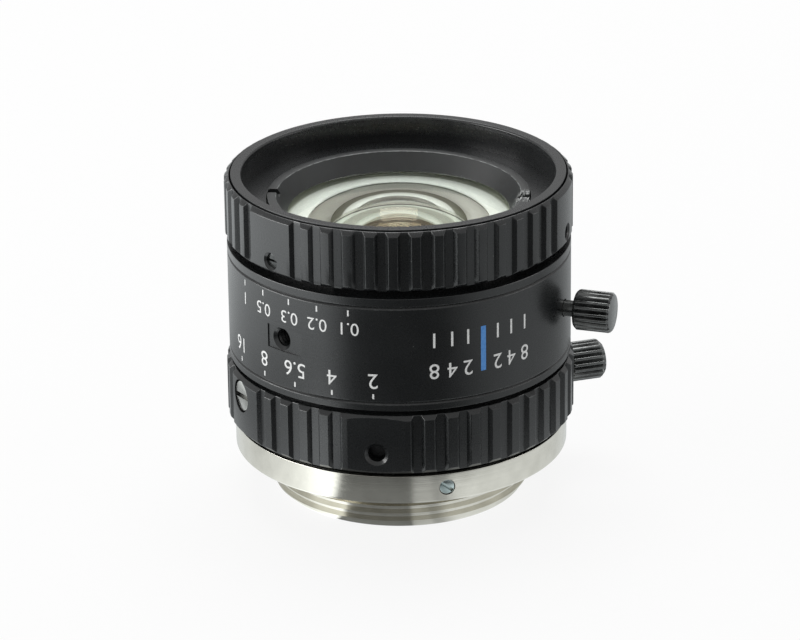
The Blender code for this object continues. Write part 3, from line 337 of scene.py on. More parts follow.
def dusted(tree, place, under):
    """A few grey specks over a colour: small dots, of which only some are chosen."""
    dots = add(tree, "TexVoronoi", {"Vector": place, "Scale": 1 / DUST_SPACING}).node.outputs
    near = add(tree, "MapRange", {"Value": dots["Distance"], "From Min": DUST_RADIUS[1],
                                  "From Max": DUST_RADIUS[0]})
    chance = add(tree, "SeparateColor", {0: dots["Color"]})
    chosen = add(tree, "MapRange", {"Value": chance, "From Min": DUSTLESS_SHARE,
                                    "From Max": DUSTLESS_SHARE + 0.01})
    speck = add(tree, "Math", {"operation": "MULTIPLY", 0: near, 1: chosen})
    return add(tree, "Mix", {"data_type": "RGBA", 0: speck, 6: under, 7: DUST}, 2)


# %% Black anodised aluminium
BLAST_GRAIN = 0.11
BLAST_DEPTH = 0.00002
DYE_PATCH = 4.0
OXIDE_IOR = 1.65


# edge is the paler grey painted on the bevels: partly worn dye, partly a painted highlight.
def black_anodised(name, colour="131516", pale="1a1c1d", edge="3d4040", rough=(0.25, 0.33), pale_runs=(0.5, 0.75),
                   chip=None):
    """Dyed oxide with edges painted paler, partly as wear and partly as a painted highlight. The chip is a
    spot in millimetres round which the dye has flaked off.
    """
    finish, tree, place = new_finish(name)
    blast = add(tree, "TexNoise", {"Vector": place, "Scale": 1 / BLAST_GRAIN, "Detail": 2.0}, "Fac")
    dye = patchy(tree, place, DYE_PATCH, 2.0, colour, pale)
    tint = dusted(tree, place, wear_and_edge_highlight(tree, place, dye, edge, pale_runs, chip))
    height = add(tree, "Math", {"operation": "ADD", 0: tool_marks(tree, place), 1: blast})
    bump = add(tree, "Bump", {"Strength": 0.22, "Distance": BLAST_DEPTH, "Height": height})
    sheen = add(tree, "MapRange", {"Value": blast, **NOISE_MIDDLE, "To Min": rough[0], "To Max": rough[1]})
    shader = add(tree, "BsdfPrincipled", {"Base Color": tint, "Roughness": sheen, "Normal": bump,
                                          "IOR": OXIDE_IOR})
    add(tree, "OutputMaterial", {"Surface": shader})
    return finish


anodised = black_anodised("black_anodised_aluminium")
print("made", anodised.name)

# %% [markdown]
# ## Plates, steel and brass
# The mount ring is brass with a satin nickel plate, a warm grey metal that shows its tool marks, and its
# set screws have a zinc plate that is passivated pale blue. The drive screw and the guide pin are bare
# steel. The thumb screws and the iris blades are steel under a glossy black oxide. Of the inner brass, the
# helicoid's retainer is bare and the iris parts are blackened against stray light. Each is a metal with its
# own tint, and the fine rings go into both its bump and its gloss, so that a highlight breaks into streaks
# round the axis.

# %% Bright and dark metals
METAL_PATCH = 2.5
METAL_MARK_DEPTH = 0.00001


def turned_metal(name, colour, pale, rough, pitch=TOOL_MARK, bump_strength=0.18, metallic=1.0):
    """A bare or plated metal with tool marks, from its two tints and its range of roughness."""
    finish, tree, place = new_finish(name)
    marks = tool_marks(tree, place, pitch)
    tint = patchy(tree, place, METAL_PATCH, 3.0, colour, pale)
    wear_and_highlight = add(tree, "Attribute", {"attribute_name": "wear_and_highlight"}, "Fac")
    # Bevelled faces take the pale tint: partly wear, partly a painted highlight along the edge.
    edges_worn_and_lit = add(tree, "Mix", {"data_type": "RGBA", 0: wear_and_highlight, 6: tint, 7: pale}, 2)
    gloss = add(tree, "MapRange", {"Value": marks, **NOISE_MIDDLE, "To Min": rough[0], "To Max": rough[1]})
    bump = add(tree, "Bump", {"Strength": bump_strength, "Distance": METAL_MARK_DEPTH, "Height": marks})
    shader = add(tree, "BsdfPrincipled", {"Base Color": edges_worn_and_lit, "Roughness": gloss, "Normal": bump,
                                          "Metallic": metallic})
    add(tree, "OutputMaterial", {"Surface": shader})
    return finish


nickel = turned_metal("satin_nickel_plate", "cdcac0", "dedbd1", (0.14, 0.22))
steel = turned_metal("turned_bare_steel", "aaaaa6", "c8c8c4", (0.18, 0.30), 0.06)
zinc = turned_metal("blue_passivated_zinc", "a5b6b6", "d3dedd", (0.16, 0.28), 0.05)
# Black oxide's pale tint, far above its black, is painted on the bevels of the knurl ridges and edges as
# bright lines: partly wear, partly a painted highlight.
black_oxide = turned_metal("glossy_black_oxide_steel", "1a1b1c", "7c7e7d", (0.14, 0.22), 0.06, 0.10, 0.8)
brass = turned_metal("turned_bare_brass", "a8823f", "c49c55", (0.22, 0.34))
blackened_brass = turned_metal("blackened_brass", "2a2622", "37322c", (0.30, 0.42), 0.09, 0.12, 0.6)
print("made", nickel.name, steel.name, zinc.name, black_oxide.name, brass.name, blackened_brass.name)

# %% [markdown]
# ## Coated glass
# Lens glass is dense and clear, with a layer of lower index on each face that is a quarter of a wave thick.
# It takes away most of the reflection of blue light, so what is left looks faintly gold. The shader's thin
# film does just this. A faint haze of dust varies its gloss a little. The edge of a lens and the flat seat
# under it are ground matt, and through the front glass they show as pale rings.

# %% Coated glass
GLASS_IOR = 1.62
COATING_IOR = 1.38
DUST_HAZE = 3.0


def coated_glass(name, film):
    """Clear polished glass under a film of a thickness in nanometres."""
    finish, tree, place = new_finish(name)
    dust = add(tree, "TexNoise", {"Vector": place, "Scale": 1 / DUST_HAZE, "Detail": 3.0}, "Fac")
    haze = add(tree, "MapRange", {"Value": dust, "From Min": 0.45, "From Max": 0.75, "To Max": 0.02})
    shader = add(tree, "BsdfPrincipled", {
        "Base Color": "f5f8f3", "Roughness": haze, "IOR": GLASS_IOR, "Transmission Weight": 1.0,
        "Thin Film Thickness": film, "Thin Film IOR": COATING_IOR})
    add(tree, "OutputMaterial", {"Surface": shader})
    return finish


front_glass = coated_glass("coated_front_glass", 84.0)
inner_glass = coated_glass("coated_inner_glass", 80.0)
print("made", front_glass.name, inner_glass.name)

# %% Ground glass
GRIT = 0.3


def ground_glass(name, dark, light, outer_tone=None):
    """Glass ground matt, which may turn to another colour between two radii: (start, end, colour)."""
    finish, tree, place = new_finish(name)
    grit = add(tree, "TexNoise", {"Vector": place, "Scale": 1 / GRIT, "Detail": 3.0}, "Fac")
    frost = add(tree, "Mix", {"data_type": "RGBA", 0: grit, 6: dark, 7: light}, 2)
    if outer_tone:
        start, end, colour = outer_tone
        beyond = add(tree, "MapRange", {"Value": axis_distance(tree, place), "From Min": start,
                                        "From Max": end})
        frost = add(tree, "Mix", {"data_type": "RGBA", 0: beyond, 6: frost, 7: colour}, 2)
    shader = add(tree, "BsdfPrincipled", {"Base Color": frost, "Roughness": 0.8, "IOR": 1.5})
    add(tree, "OutputMaterial", {"Surface": shader})
    return finish


ground_edge = ground_glass("ground_glass_edge", "f0efe6", "fcfbf6")
# From 10.2 to 10.6 mm out from the axis the seat turns to a darker grey, 85897a.
glass_seat = ground_glass("ground_glass_seat", "d3d7cd", "e9ece4", (10.2, 10.6, "85897a"))
print("made", ground_edge.name, glass_seat.name)

# %% [markdown]
# ## Ribbed rings
# The focus and iris rings are gripped by their ribs. Each groove has a flat floor and sloping walls and
# runs the whole height of the ring. One way is to cut them with Booleans, but these leave slivers that a
# bevel can't round. Here the blank is spun in columns that already lie on the grooves' edges, and the
# columns of each floor are pushed in. Where a groove's wall meets the bevel at the end of the ring, the
# four-sided faces are split along their long diagonal, which is the true line between the two.

# %% Columns of a ribbed ring
GROOVE_DEPTH = 0.4
GROOVE_FLOOR = 0.75
GROOVE_MOUTH = 1.35
RIB_STEP = 1.6
RING_BEVEL = 0.4
RIB_EDGE = 0.045
FLAT_WITHIN = 0.000005


def ribbed_ring(outline, outer, grooves):
    """Spin a blank and push its grooves in. The grooves' bearings rise, within one turn."""
    floor = outer - GROOVE_DEPTH
    half_floor = GROOVE_FLOOR / 2 / floor * 180 / pi
    half_mouth = GROOVE_MOUTH / 2 / outer * 180 / pi
    columns = []
    for bearing, following in zip(grooves, list(grooves[1:]) + [grooves[0] + 360]):
        rib = following - bearing - half_mouth * 2
        columns += [(half_mouth - half_floor, 1), (half_floor * 2, 1), (half_mouth - half_floor, 1),
                    (rib, max(2, round(rib / RIB_STEP)))]
    form = lathe(outline, columns)
    bmesh.ops.rotate(form, verts=form.verts, matrix=Matrix.Rotation(radians(grooves[0] - half_mouth), 3, "Z"))
    for vert in form.verts:
        radius = vert.co.xy.length
        off = min(abs((bearing_of(vert.co) - groove + 180) % 360 - 180) for groove in grooves)
        if off < half_floor + 0.01 and radius > floor * MM:
            vert.co.xy *= floor * MM / radius
    bmesh.ops.remove_doubles(form, verts=form.verts, dist=MERGE_DISTANCE)
    twisted = []
    for face in form.faces:
        corners = [vert.co for vert in face.verts]
        if len(corners) == 4:
            normal = (corners[1] - corners[0]).cross(corners[2] - corners[0]).normalized()
            if abs((corners[3] - corners[0]).dot(normal)) > FLAT_WITHIN:
                twisted.append(face)
    bmesh.ops.triangulate(form, faces=twisted, quad_method="LONG_EDGE")
    bmesh.ops.recalc_face_normals(form, faces=form.faces)
    return form


def evenly(first, last, count):
    """Bearings from the first to the last, at one spacing."""
    return [first + (last - first) * step / (count - 1) for step in range(count)]


# %% [markdown]
# ## The focus ring
# Three set screws clamp it to its helicoid. Each sits a little below the surface, in a hole with an opened
# mouth in the middle of a wide smooth land, and between the lands run three rows of fourteen grooves.

# %% The focus ring
FOCUS_RADIUS = 17.05
FOCUS_SCREWS = (-46.3, 73.5, 193.5)
FOCUS_SCREW_Z = 27.9
ROW_STARTS = (-35.5, 84.5, 204.5)
ROW_WIDTH = 96.7
ROW_GROOVES = 14

focus_blank = [
    (FOCUS_RADIUS - RING_BEVEL, 32.6), (FOCUS_RADIUS, 32.2), (FOCUS_RADIUS, 28.95), (FOCUS_RADIUS, 27.0),
    (FOCUS_RADIUS - RING_BEVEL, 26.6), (16.0, 26.6), (16.0, 29.1), (16.55, 29.1), (16.55, 32.6),
]
focus_grooves = [groove for start in ROW_STARTS for groove in evenly(start, start + ROW_WIDTH, ROW_GROOVES)]
focus_form = break_edges(ribbed_ring(focus_blank, FOCUS_RADIUS, focus_grooves), RIB_EDGE)
funnel = [(0.72, 15.0), (0.72, FOCUS_RADIUS - 0.22), (0.90, FOCUS_RADIUS - 0.05), (0.90, 18.0)]
focus_holes = [make_tool("funnel", bar(bearing, FOCUS_SCREW_Z, funnel)) for bearing in FOCUS_SCREWS]
make_piece("ribbed_focus_ring", focus_form, anodised, "focus", ["focus_ring"], focus_holes)

# %% [markdown]
# ## The iris ring
# It is made in the same way, and then milled flat on the side that faces us: a plane cuts the facet off
# and the cut is filled. A tapped hole in the facet would take a second locking screw. Further left, in a
# smooth land, a wide shallow bore holds the head of the screw that drives the iris.

# %% The iris ring
IRIS_RADIUS = 17.2
FACET_BEARING = -8.2
FACET_DISTANCE = 16.97
DRIVE_BEARING = -66.0
DRIVE_Z = 11.9
DRIVE_LAND = 7.0
IRIS_HOLE_Z = 9.8
IRIS_LOCK_BEARING = 108.0
LOCK_HOLE_RADIUS = 0.9

iris_blank = [(IRIS_RADIUS - RING_BEVEL, 13.85), (IRIS_RADIUS, 13.45), (IRIS_RADIUS, 8.2),
              (IRIS_RADIUS - RING_BEVEL, 7.8), (15.75, 7.8), (15.75, 13.85)]
iris_grooves = [groove for groove in evenly(5.3, 338.2, 44) if abs(groove - 360 - DRIVE_BEARING) > DRIVE_LAND]
iris_form = ribbed_ring(iris_blank, IRIS_RADIUS, iris_grooves)
outward = radial(FACET_BEARING, 0).to_3x3() @ Vector((0, 0, 1))
cut = bmesh.ops.bisect_plane(iris_form, geom=iris_form.verts[:] + iris_form.edges[:] + iris_form.faces[:],
                             plane_co=outward * FACET_DISTANCE * MM, plane_no=outward, clear_outer=True,
                             dist=0.000001)
rim_of_cut = [item for item in cut["geom_cut"] if isinstance(item, bmesh.types.BMEdge)]
bmesh.ops.edgeloop_fill(iris_form, edges=rim_of_cut)
bmesh.ops.recalc_face_normals(iris_form, faces=iris_form.faces)
break_edges(iris_form, RIB_EDGE)
iris_holes = [
    tap(FACET_BEARING, IRIS_HOLE_Z, 15.2, FACET_DISTANCE),
    drill(IRIS_LOCK_BEARING, IRIS_HOLE_Z, LOCK_HOLE_RADIUS, 15.0, 18.0),
    drill(DRIVE_BEARING, DRIVE_Z, 0.55, 15.0, 18.0),
    drill(DRIVE_BEARING, DRIVE_Z, 1.65, 16.35, 18.0),
]
make_piece("ribbed_iris_ring", iris_form, anodised, "iris", ["iris_ring"], iris_holes,
           crease=8)

# %% [markdown]
# ## The main barrel
# One tube with a fine V groove near each end of its smooth wall, and a narrower neck that the iris ring
# turns on. The left side has a small milled flat with a tapped hole, which stops in a clean step.

# %% The main barrel
BARREL_RADIUS = 16.9
V_GROOVE_RADIUS = 16.75
BARREL_HOLE_Z = 20.1
PAD_BEARING = -42.9
PAD_DISTANCE = 16.69
PAD_HALF_HEIGHT = 1.2
FOCUS_LOCK_BEARING = 72.0
BACK_HOLE_BEARING = 192.0
GUIDE_BEARING = 150.0
DRIVE_SLOT = (-68.7, -18.3)

barrel_outline = [
    (BARREL_RADIUS, 25.9), (BARREL_RADIUS, 25.1), (V_GROOVE_RADIUS, 24.95), (BARREL_RADIUS, 24.8),
    (BARREL_RADIUS, 21.35), (BARREL_RADIUS, 18.85),
    (BARREL_RADIUS, 15.3), (V_GROOVE_RADIUS, 15.15), (BARREL_RADIUS, 15.0), (BARREL_RADIUS, 14.35),
    (15.6, 14.35), (15.6, 7.6), (15.0, 7.6), (15.0, 5.3),
    (12.5, 5.3), (12.5, 16.0), (15.0, 16.0), (15.0, 25.9),
]
barrel_form = break_edges(lathe(barrel_outline), 0.05, 30)
pad_limits = (BARREL_HOLE_Z - PAD_HALF_HEIGHT, BARREL_HOLE_Z + PAD_HALF_HEIGHT)
barrel_tools = [
    make_tool("pad_mill", mill(PAD_BEARING, (-1.77, 5.3), pad_limits, (PAD_DISTANCE, 17.3))),
    tap(PAD_BEARING, BARREL_HOLE_Z, 13.5, PAD_DISTANCE),
    tap(BACK_HOLE_BEARING, BARREL_HOLE_Z, 13.5, BARREL_RADIUS),
    drill(FOCUS_LOCK_BEARING, BARREL_HOLE_Z, LOCK_HOLE_RADIUS, 13.0, 17.5),
    drill(GUIDE_BEARING, 13.2, 0.65, 12.0, 16.0),
    slot_mill(*DRIVE_SLOT, 11.7, 15.9, DRIVE_Z - 0.65, DRIVE_Z + 0.65),
]
make_piece("turned_barrel", barrel_form, anodised, "barrel", ["main_barrel"], barrel_tools,
           crease=8)

# %% [markdown]
# ## The mount ring
# The camera thread is one inch across with 32 turns to the inch, a pitch of 0.794 mm. Rings would look
# much the same from the side, but a real thread climbs, so one tooth is spun along a helix and its two
# ends are closed. Its foot is sunk into a plain core, between a lead-in bevel below and a relief groove
# above. It stays a piece of its own, because a Boolean goes wrong on skins that pass through each other.

# %% The mount ring
THREAD_CORE = 12.22
MOUNT_SCREWS = (15.4, 135.4, 255.4)
MOUNT_SCREW_Z = 5.9

mount_outline = [
    (16.5, 7.3), (16.5, 4.6), (16.3, 4.4), (13.0, 4.4), (12.1, 4.55), (12.1, 3.65),
    (THREAD_CORE, 3.5), (THREAD_CORE, 0.2), (12.02, 0.0), (11.2, 0.0), (11.0, 0.2),
    (11.0, 5.0), (15.2, 5.0), (15.2, 7.3),
]
mount_tools = [drill(bearing, MOUNT_SCREW_Z, 0.8, 14.8, 17.0) for bearing in MOUNT_SCREWS]
make_piece("threaded_mount_ring", break_edges(lathe(mount_outline), 0.05, 30), nickel, "barrel",
           ["mount_ring"], mount_tools)

# %% Its thread
THREAD_RADIUS = 12.7
THREAD_PITCH = 0.794
THREAD_TURNS = 3.4
THREAD_START = 0.42
TOOTH_FOOT = (THREAD_CORE - 0.1, 0.37)
TOOTH_CREST = (THREAD_RADIUS, 0.05)

thread_form = bmesh.new()
(foot, half_foot), (crest, half_crest) = TOOTH_FOOT, TOOTH_CREST
tooth = [(foot, -half_foot), (crest, -half_crest), (crest, half_crest), (foot, half_foot)]
corners = [thread_form.verts.new((0, radius * MM, (height + THREAD_START) * MM)) for radius, height in tooth]
tooth_edges = [thread_form.edges.new(pair) for pair in zip(corners, corners[1:] + corners[:1])]
steps = round(THREAD_TURNS * COLUMNS)
spun = bmesh.ops.spin(thread_form, geom=corners + tooth_edges, axis=(0, 0, 1), angle=2 * pi * THREAD_TURNS,
                      steps=steps, dvec=(0, 0, THREAD_PITCH * THREAD_TURNS / steps * MM), use_merge=False)
last_edges = [item for item in spun["geom_last"] if isinstance(item, bmesh.types.BMEdge)]
bmesh.ops.edgeloop_fill(thread_form, edges=tooth_edges)
bmesh.ops.edgeloop_fill(thread_form, edges=last_edges)
bmesh.ops.recalc_face_normals(thread_form, faces=thread_form.faces)
make_piece("camera_thread", thread_form, nickel, "barrel", [])

# %% [markdown]
# ## Screws
# The set screws are short bars with a broken edge and a slot that ends up at whatever angle the screw was
# tightened to. The drive screw has a wider head and a long pin to the cam ring.

# %% Slotted screws
def slotted(name, bearing, height, outline, slot_width, slot_depth, slot_turn, finish, body, node):
    """A turned screw along a bearing with a slot across its outer end."""
    form = break_edges(bar(bearing, height, outline), 0.06, 40)
    end = outline[-1][1]
    blade = bmesh.new()
    size = Matrix.Diagonal((6 * MM, slot_width * MM, slot_depth * 2 * MM, 1))
    place = Matrix.Translation((0, 0, end * MM)) @ Matrix.Rotation(radians(slot_turn), 4, "Z")
    bmesh.ops.create_cube(blade, size=1, matrix=radial(bearing, height) @ place @ size)
    make_piece(name, form, finish, body, [node], [make_tool("slot_blade", blade)])


SLOT_DEPTH = 0.35

for number, turn in enumerate((-38, 24, 71)):
    slotted(f"slotted_mount_screw_{number + 1}", MOUNT_SCREWS[number], MOUNT_SCREW_Z,
            [(0.75, 15.1), (0.75, 16.4)], 0.30, SLOT_DEPTH, turn, zinc, "barrel",
            f"mount_set_screw_{number + 1}")
    slotted(f"slotted_focus_screw_{number + 1}", FOCUS_SCREWS[number], FOCUS_SCREW_Z,
            [(0.7, 15.9), (0.7, 16.7)], 0.25, SLOT_DEPTH, turn + 40, black_oxide, "focus",
            f"focus_ring_set_screw_{number + 1}")
slotted("slotted_drive_screw", DRIVE_BEARING, DRIVE_Z,
        [(0.5, 11.25), (0.5, 16.42), (1.5, 16.42), (1.5, 17.05)], 0.5, 0.4, 8, steel, "iris",
        "iris_drive_screw")

# %% [markdown]
# ## Thumb screws
# Two knurled screws lock the rings. A straight knurl is pressed in by a toothed wheel, so the ridges are
# sharp and even. The head is spun in three columns for each ridge and every third one is pulled in, before
# the screw is laid along its bearing.

# %% Thumb screws
HEAD_RADIUS = 2.0
HEAD_LENGTH = 3.7
SHANK_RADIUS = 0.8
KNURL_RIDGES = 20
KNURL_DEPTH = 0.28
END_WEAR_AND_HIGHLIGHT = 0.85


def thumb_screw(name, bearing, height, tip, head, chamfer, body, node):
    """A knurled screw from the distances of its tip and of the underside of its head."""
    end = head + HEAD_LENGTH
    outline = [(0, tip), (SHANK_RADIUS - 0.15, tip), (SHANK_RADIUS, tip + 0.15), (SHANK_RADIUS, head),
               (HEAD_RADIUS - 0.25, head), (HEAD_RADIUS, head + 0.25),
               (HEAD_RADIUS, end - chamfer), (HEAD_RADIUS - chamfer, end), (0, end)]
    form = lathe(outline, ((360, KNURL_RIDGES * 3),), closed=False)
    step = 360 / (KNURL_RIDGES * 3)
    for vert in form.verts:
        if vert.co.xy.length > (HEAD_RADIUS - 0.1) * MM and round(bearing_of(vert.co) / step) % 3 == 0:
            vert.co.xy *= 1 - KNURL_DEPTH / HEAD_RADIUS
    along = radial(bearing, height)
    bmesh.ops.transform(form, matrix=along, verts=form.verts)
    bmesh.ops.recalc_face_normals(form, faces=form.faces)
    break_edges(form, 0.035, 20)
    wear_and_highlight = form.faces.layers.float["wear_and_highlight"]
    # The flat outer end is painted paler: partly rubbed wear, partly a painted highlight.
    for face in form.faces:
        if (along.inverted() @ face.calc_center_median()).z > (end - 0.01) * MM:
            face[wear_and_highlight] = END_WEAR_AND_HIGHLIGHT
    make_piece(name, form, black_oxide, body, [node])


thumb_screw("knurled_focus_lock", FOCUS_LOCK_BEARING, BARREL_HOLE_Z, 14.95, 18.1, 0.2, "focus_lock",
            "focus_lock_screw")
thumb_screw("knurled_iris_lock", IRIS_LOCK_BEARING, IRIS_HOLE_Z, 15.7, 17.6, 0.4, "iris_lock",
            "iris_lock_screw")

# %% [markdown]
# ## The front barrel
# Its rim has the fine thread for a filter, 0.5 mm from turn to turn, and below that a dark cavity. The
# thread is in shadow and only two or three of its turns catch the light, so rings in the outline do.

# %% The front barrel
CAVITY_RADIUS = 15.35
CAVITY_FLOOR = 30.0
FILTER_PITCH = 0.5
FILTER_DEPTH = 0.07

filter_turns = [(CAVITY_RADIUS, 30.75)]
for turn in range(3):
    filter_turns += [(CAVITY_RADIUS - FILTER_DEPTH, 31.0 + turn * FILTER_PITCH),
                     (CAVITY_RADIUS, 31.25 + turn * FILTER_PITCH)]
front_outline = [
    (16.4, 32.75), (16.4, 29.2), (13.9, 29.2), (13.9, 17.5), (11.3, 17.5), (11.3, 21.2), (9.4, 21.2),
    (9.4, 24.3), (12.95, 24.3), (12.95, CAVITY_FLOOR), (CAVITY_RADIUS, CAVITY_FLOOR), *filter_turns,
    (CAVITY_RADIUS, 32.6), (CAVITY_RADIUS + 0.12, 32.75),
]
front_form = break_edges(lathe(front_outline), 0.04, 35)
make_piece("threaded_front_barrel", front_form, anodised, "lens_cell", ["front_barrel"])

# %% [markdown]
# ## Glass
# Each face of a lens is part of a sphere, so its outline is a row of points that fall by the sagitta of an
# arc. The elements are solid and separate, and light bends through all of them. Their sides are ground, and
# so is the flat seat round a hollow rear face. A renderer sends shadow rays straight through a lens without
# bending them, which would darken all that lies behind it, so the glass casts no shadow.

# %% Lens outlines
def sag(radius, reach, bow):
    """How far a spherical face falls from its crown, when it falls by its bow at its reach."""
    curve = (reach * reach + bow * bow) / (2 * abs(bow))
    fall = curve - sqrt(curve * curve - radius * radius)
    return fall if bow > 0 else -fall


def lens(name, top, bottom, radius, finish, node, rings=14):
    """A lens from its two faces, each a (crown, bow, reach) and flat past its reach."""
    shares = [step / rings for step in range(rings + 1)]
    outline = []
    for (crown, bow, reach), side in ((top, 1), (bottom, -1)):
        face = [(reach * share, crown - side * sag(reach * share, reach, bow)) for share in shares]
        if reach < radius:
            face.append((radius, face[-1][1]))
        outline += face[::side]
    form = lathe(outline, ((360, 96),), closed=False)
    piece = make_piece(name, form, finish, "lens_cell", [node])
    piece.data.materials.append(ground_edge)
    piece.data.materials.append(glass_seat)
    for face in piece.data.polygons:
        away = Vector(face.center[:2]).length
        if abs(face.normal.z) < 0.1 and away > (radius - 0.1) * MM:
            face.material_index = 1
        elif face.normal.z < -0.99 and away > bottom[2] * MM:
            face.material_index = 2
    piece.visible_shadow = False


# %% The six elements
FRONT_FACE = (29.9, 2.09, 12.75)
THIRD_THICKNESS = 6.0
THIRD_REACH = 7.9
CELL_BORE = 7.0
CELL_SEAT_Z = 14.6
SEAT_GAP = 0.15

third_low = CELL_SEAT_Z + SEAT_GAP - sag(CELL_BORE, THIRD_REACH, 1.5)
third_face = (third_low + THIRD_THICKNESS, 1.8, THIRD_REACH)
lens("polished_front_lens", FRONT_FACE, (28.3, -3.7, 8.25), 12.75, front_glass, "front_lens")
lens("polished_second_lens", (26.1, 2.2, 9.1), (24.3, -3.1, 6.8), 9.1, inner_glass, "second_lens")
lens("polished_third_lens", third_face, (third_low, 1.5, THIRD_REACH), THIRD_REACH, inner_glass, "third_lens")
lens("polished_doublet_front", (7.0, -1.1, 6.6), (6.3, -1.6, 8.4), 8.4, inner_glass, "doublet_front_lens")
lens("polished_doublet_rear", (6.2, 1.6, 8.4), (3.4, 0.9, 8.4), 8.4, inner_glass, "doublet_rear_lens")
lens("polished_rear_lens", (3.2, 0.6, 8.4), (2.1, 0.15, 8.4), 8.4, front_glass, "rear_lens")

# %% [markdown]
# ## Retaining rings and cells
# The front glass is held by a ring with a cone inside and two notches for a pin spanner. Spanners slip, so
# its top edge is painted a pale grey, partly as scratches and partly as a painted highlight along that edge,
# and round the right notch the dye has flaked off. The rings and cells behind it are plain turned tubes.

# %% The front retaining ring
NOTCHES = (-95.0, 85.0)
RING_BORE = 10.85
CHIP_RADIUS = 12.3

crown, bow, reach = FRONT_FACE
glass_at_ring = crown - sag(RING_BORE, reach, bow)
ring_outline = [(12.0, 30.3), (12.85, 30.3), (12.85, 28.11), (RING_BORE, glass_at_ring + SEAT_GAP)]
chip = (CHIP_RADIUS * sin(radians(NOTCHES[1])), -CHIP_RADIUS * cos(radians(NOTCHES[1])), 30.1)
# 737776 is the pale grey painted on its edges: partly spanner scratches, partly a painted highlight along the
# top edge.
scratched_and_highlit = black_anodised("scratched_black_anodised", "191b1b", "242727", "737776", (0.42, 0.50),
                           (0.38, 0.60), chip)
notch_tools = [make_tool("notch", mill(bearing, (-0.5, 0.5), (29.8, 31.0), (10.5, 13.2)))
               for bearing in NOTCHES]
make_piece("notched_retaining_ring", break_edges(lathe(ring_outline), 0.05, 30), scratched_and_highlit, "lens_cell",
           ["front_retaining_ring"], notch_tools)

# %% The cells behind it
crown, bow, reach = third_face
retainer_low = crown - sag(CELL_BORE, reach, bow) + SEAT_GAP
cells = {
    "middle_cell": [(11.0, 20.9), (11.0, 16.7), (12.3, 16.7), (12.3, 16.1), (11.55, 16.1), (11.55, 13.2),
                    (CELL_BORE, 13.2), (CELL_BORE, CELL_SEAT_Z), (8.2, CELL_SEAT_Z), (8.2, 20.9)],
    "third_lens_retainer": [(8.05, retainer_low + 0.8), (8.05, retainer_low), (CELL_BORE, retainer_low),
                            (CELL_BORE, retainer_low + 0.8)],
    "rear_retaining_ring": [(8.55, 2.0), (8.55, 1.3), (7.2, 1.3), (7.2, 2.0)],
}
for node, outline in cells.items():
    make_piece(f"turned_{node}", break_edges(lathe(outline), 0.04, 30), anodised, "lens_cell", [node])
rear_outline = [(12.3, 16.0), (12.3, 8.5), (10.5, 8.5), (10.5, 1.2), (8.7, 1.2), (8.7, 8.3), (7.0, 8.3),
                (7.0, 9.0), (11.7, 9.0), (11.7, 16.0)]
rear_tools = [slot_mill(*DRIVE_SLOT, 11.15, 12.6, DRIVE_Z - 1.1, DRIVE_Z + 1.0),
              make_tool("guide_slot", mill(GUIDE_BEARING, (-0.75, 0.75), (12.0, 14.3), (11.15, 12.6)))]
make_piece("turned_rear_barrel", break_edges(lathe(rear_outline), 0.04, 30), anodised, "lens_cell",
           ["rear_barrel"], rear_tools)

# %% [markdown]
# ## The printed scale
# Marks on a lens are engraved and filled with enamel. Here they are thin prints that stand a hundredth of a
# millimetre off the wall. Text is made a mesh first and then wrapped: its sideways distance becomes a
# bearing. The lens stands on its rear end, so its figures are upside down to us, as on a shelf.

# %% Wrap flat marks round the barrel
PRINT_RADIUS = BARREL_RADIUS + 0.012


def wrap(name, form, bearing, height, finish):
    """Bend a flat form, drawn in millimetres, round the barrel, upside down."""
    long_edges = [edge for edge in form.edges if edge.calc_length() > 0.5]
    bmesh.ops.subdivide_edges(form, edges=long_edges, cuts=3)
    bmesh.ops.triangulate(form, faces=form.faces)
    for vert in form.verts:
        angle = radians(bearing) - vert.co.x / PRINT_RADIUS
        vert.co = Vector((sin(angle) * PRINT_RADIUS, -cos(angle) * PRINT_RADIUS, height - vert.co.y)) * MM
    make_piece(name, form, finish, "barrel", [])


def figures(text, size):
    """Generic figures as a flat mesh, centred on their own middle."""
    curve = bpy.data.curves.new("figures", "FONT")
    curve.body, curve.size, curve.align_x, curve.align_y = text, size, "CENTER", "CENTER"
    drawn = new_object("figures", curve)
    graph = bpy.context.evaluated_depsgraph_get()
    form = bmesh.new()
    form.from_mesh(drawn.evaluated_get(graph).to_mesh())
    bpy.data.objects.remove(drawn)
    return form


def tick(width, height):
    """A flat bar, drawn in millimetres."""
    form = bmesh.new()
    bmesh.ops.create_grid(form, x_segments=2, y_segments=2, size=0.5,
                          matrix=Matrix.Diagonal((width, height, 1, 1)))
    return form


# %% [markdown]
# ## Enamel
# The fill is a matt enamel with a slightly uneven coat, white for the figures and blue for one plain bar.

# %% Enamel
ENAMEL_GRAIN = 0.25
ENAMEL_GLOSS = 0.4


def enamel(name, colour, pale):
    """A matt fill with a slightly uneven coat, from its two tints."""
    finish, tree, place = new_finish(name)
    tint = patchy(tree, place, ENAMEL_GRAIN, 3.0, colour, pale)
    coat = add(tree, "TexNoise", {"Vector": place, "Scale": 1 / ENAMEL_GLOSS, "Detail": 2.0}, "Fac")
    sheen = add(tree, "MapRange", {"Value": coat, **NOISE_MIDDLE, "To Min": 0.4, "To Max": 0.6})
    shader = add(tree, "BsdfPrincipled", {"Base Color": tint, "Roughness": sheen, "IOR": 1.5})
    add(tree, "OutputMaterial", {"Surface": shader})
    return finish


white_enamel = enamel("white_enamel", "dcdedd", "eff0ef")
blue_enamel = enamel("blue_enamel", "4485cf", "5a9be0")
print("made", white_enamel.name, blue_enamel.name)


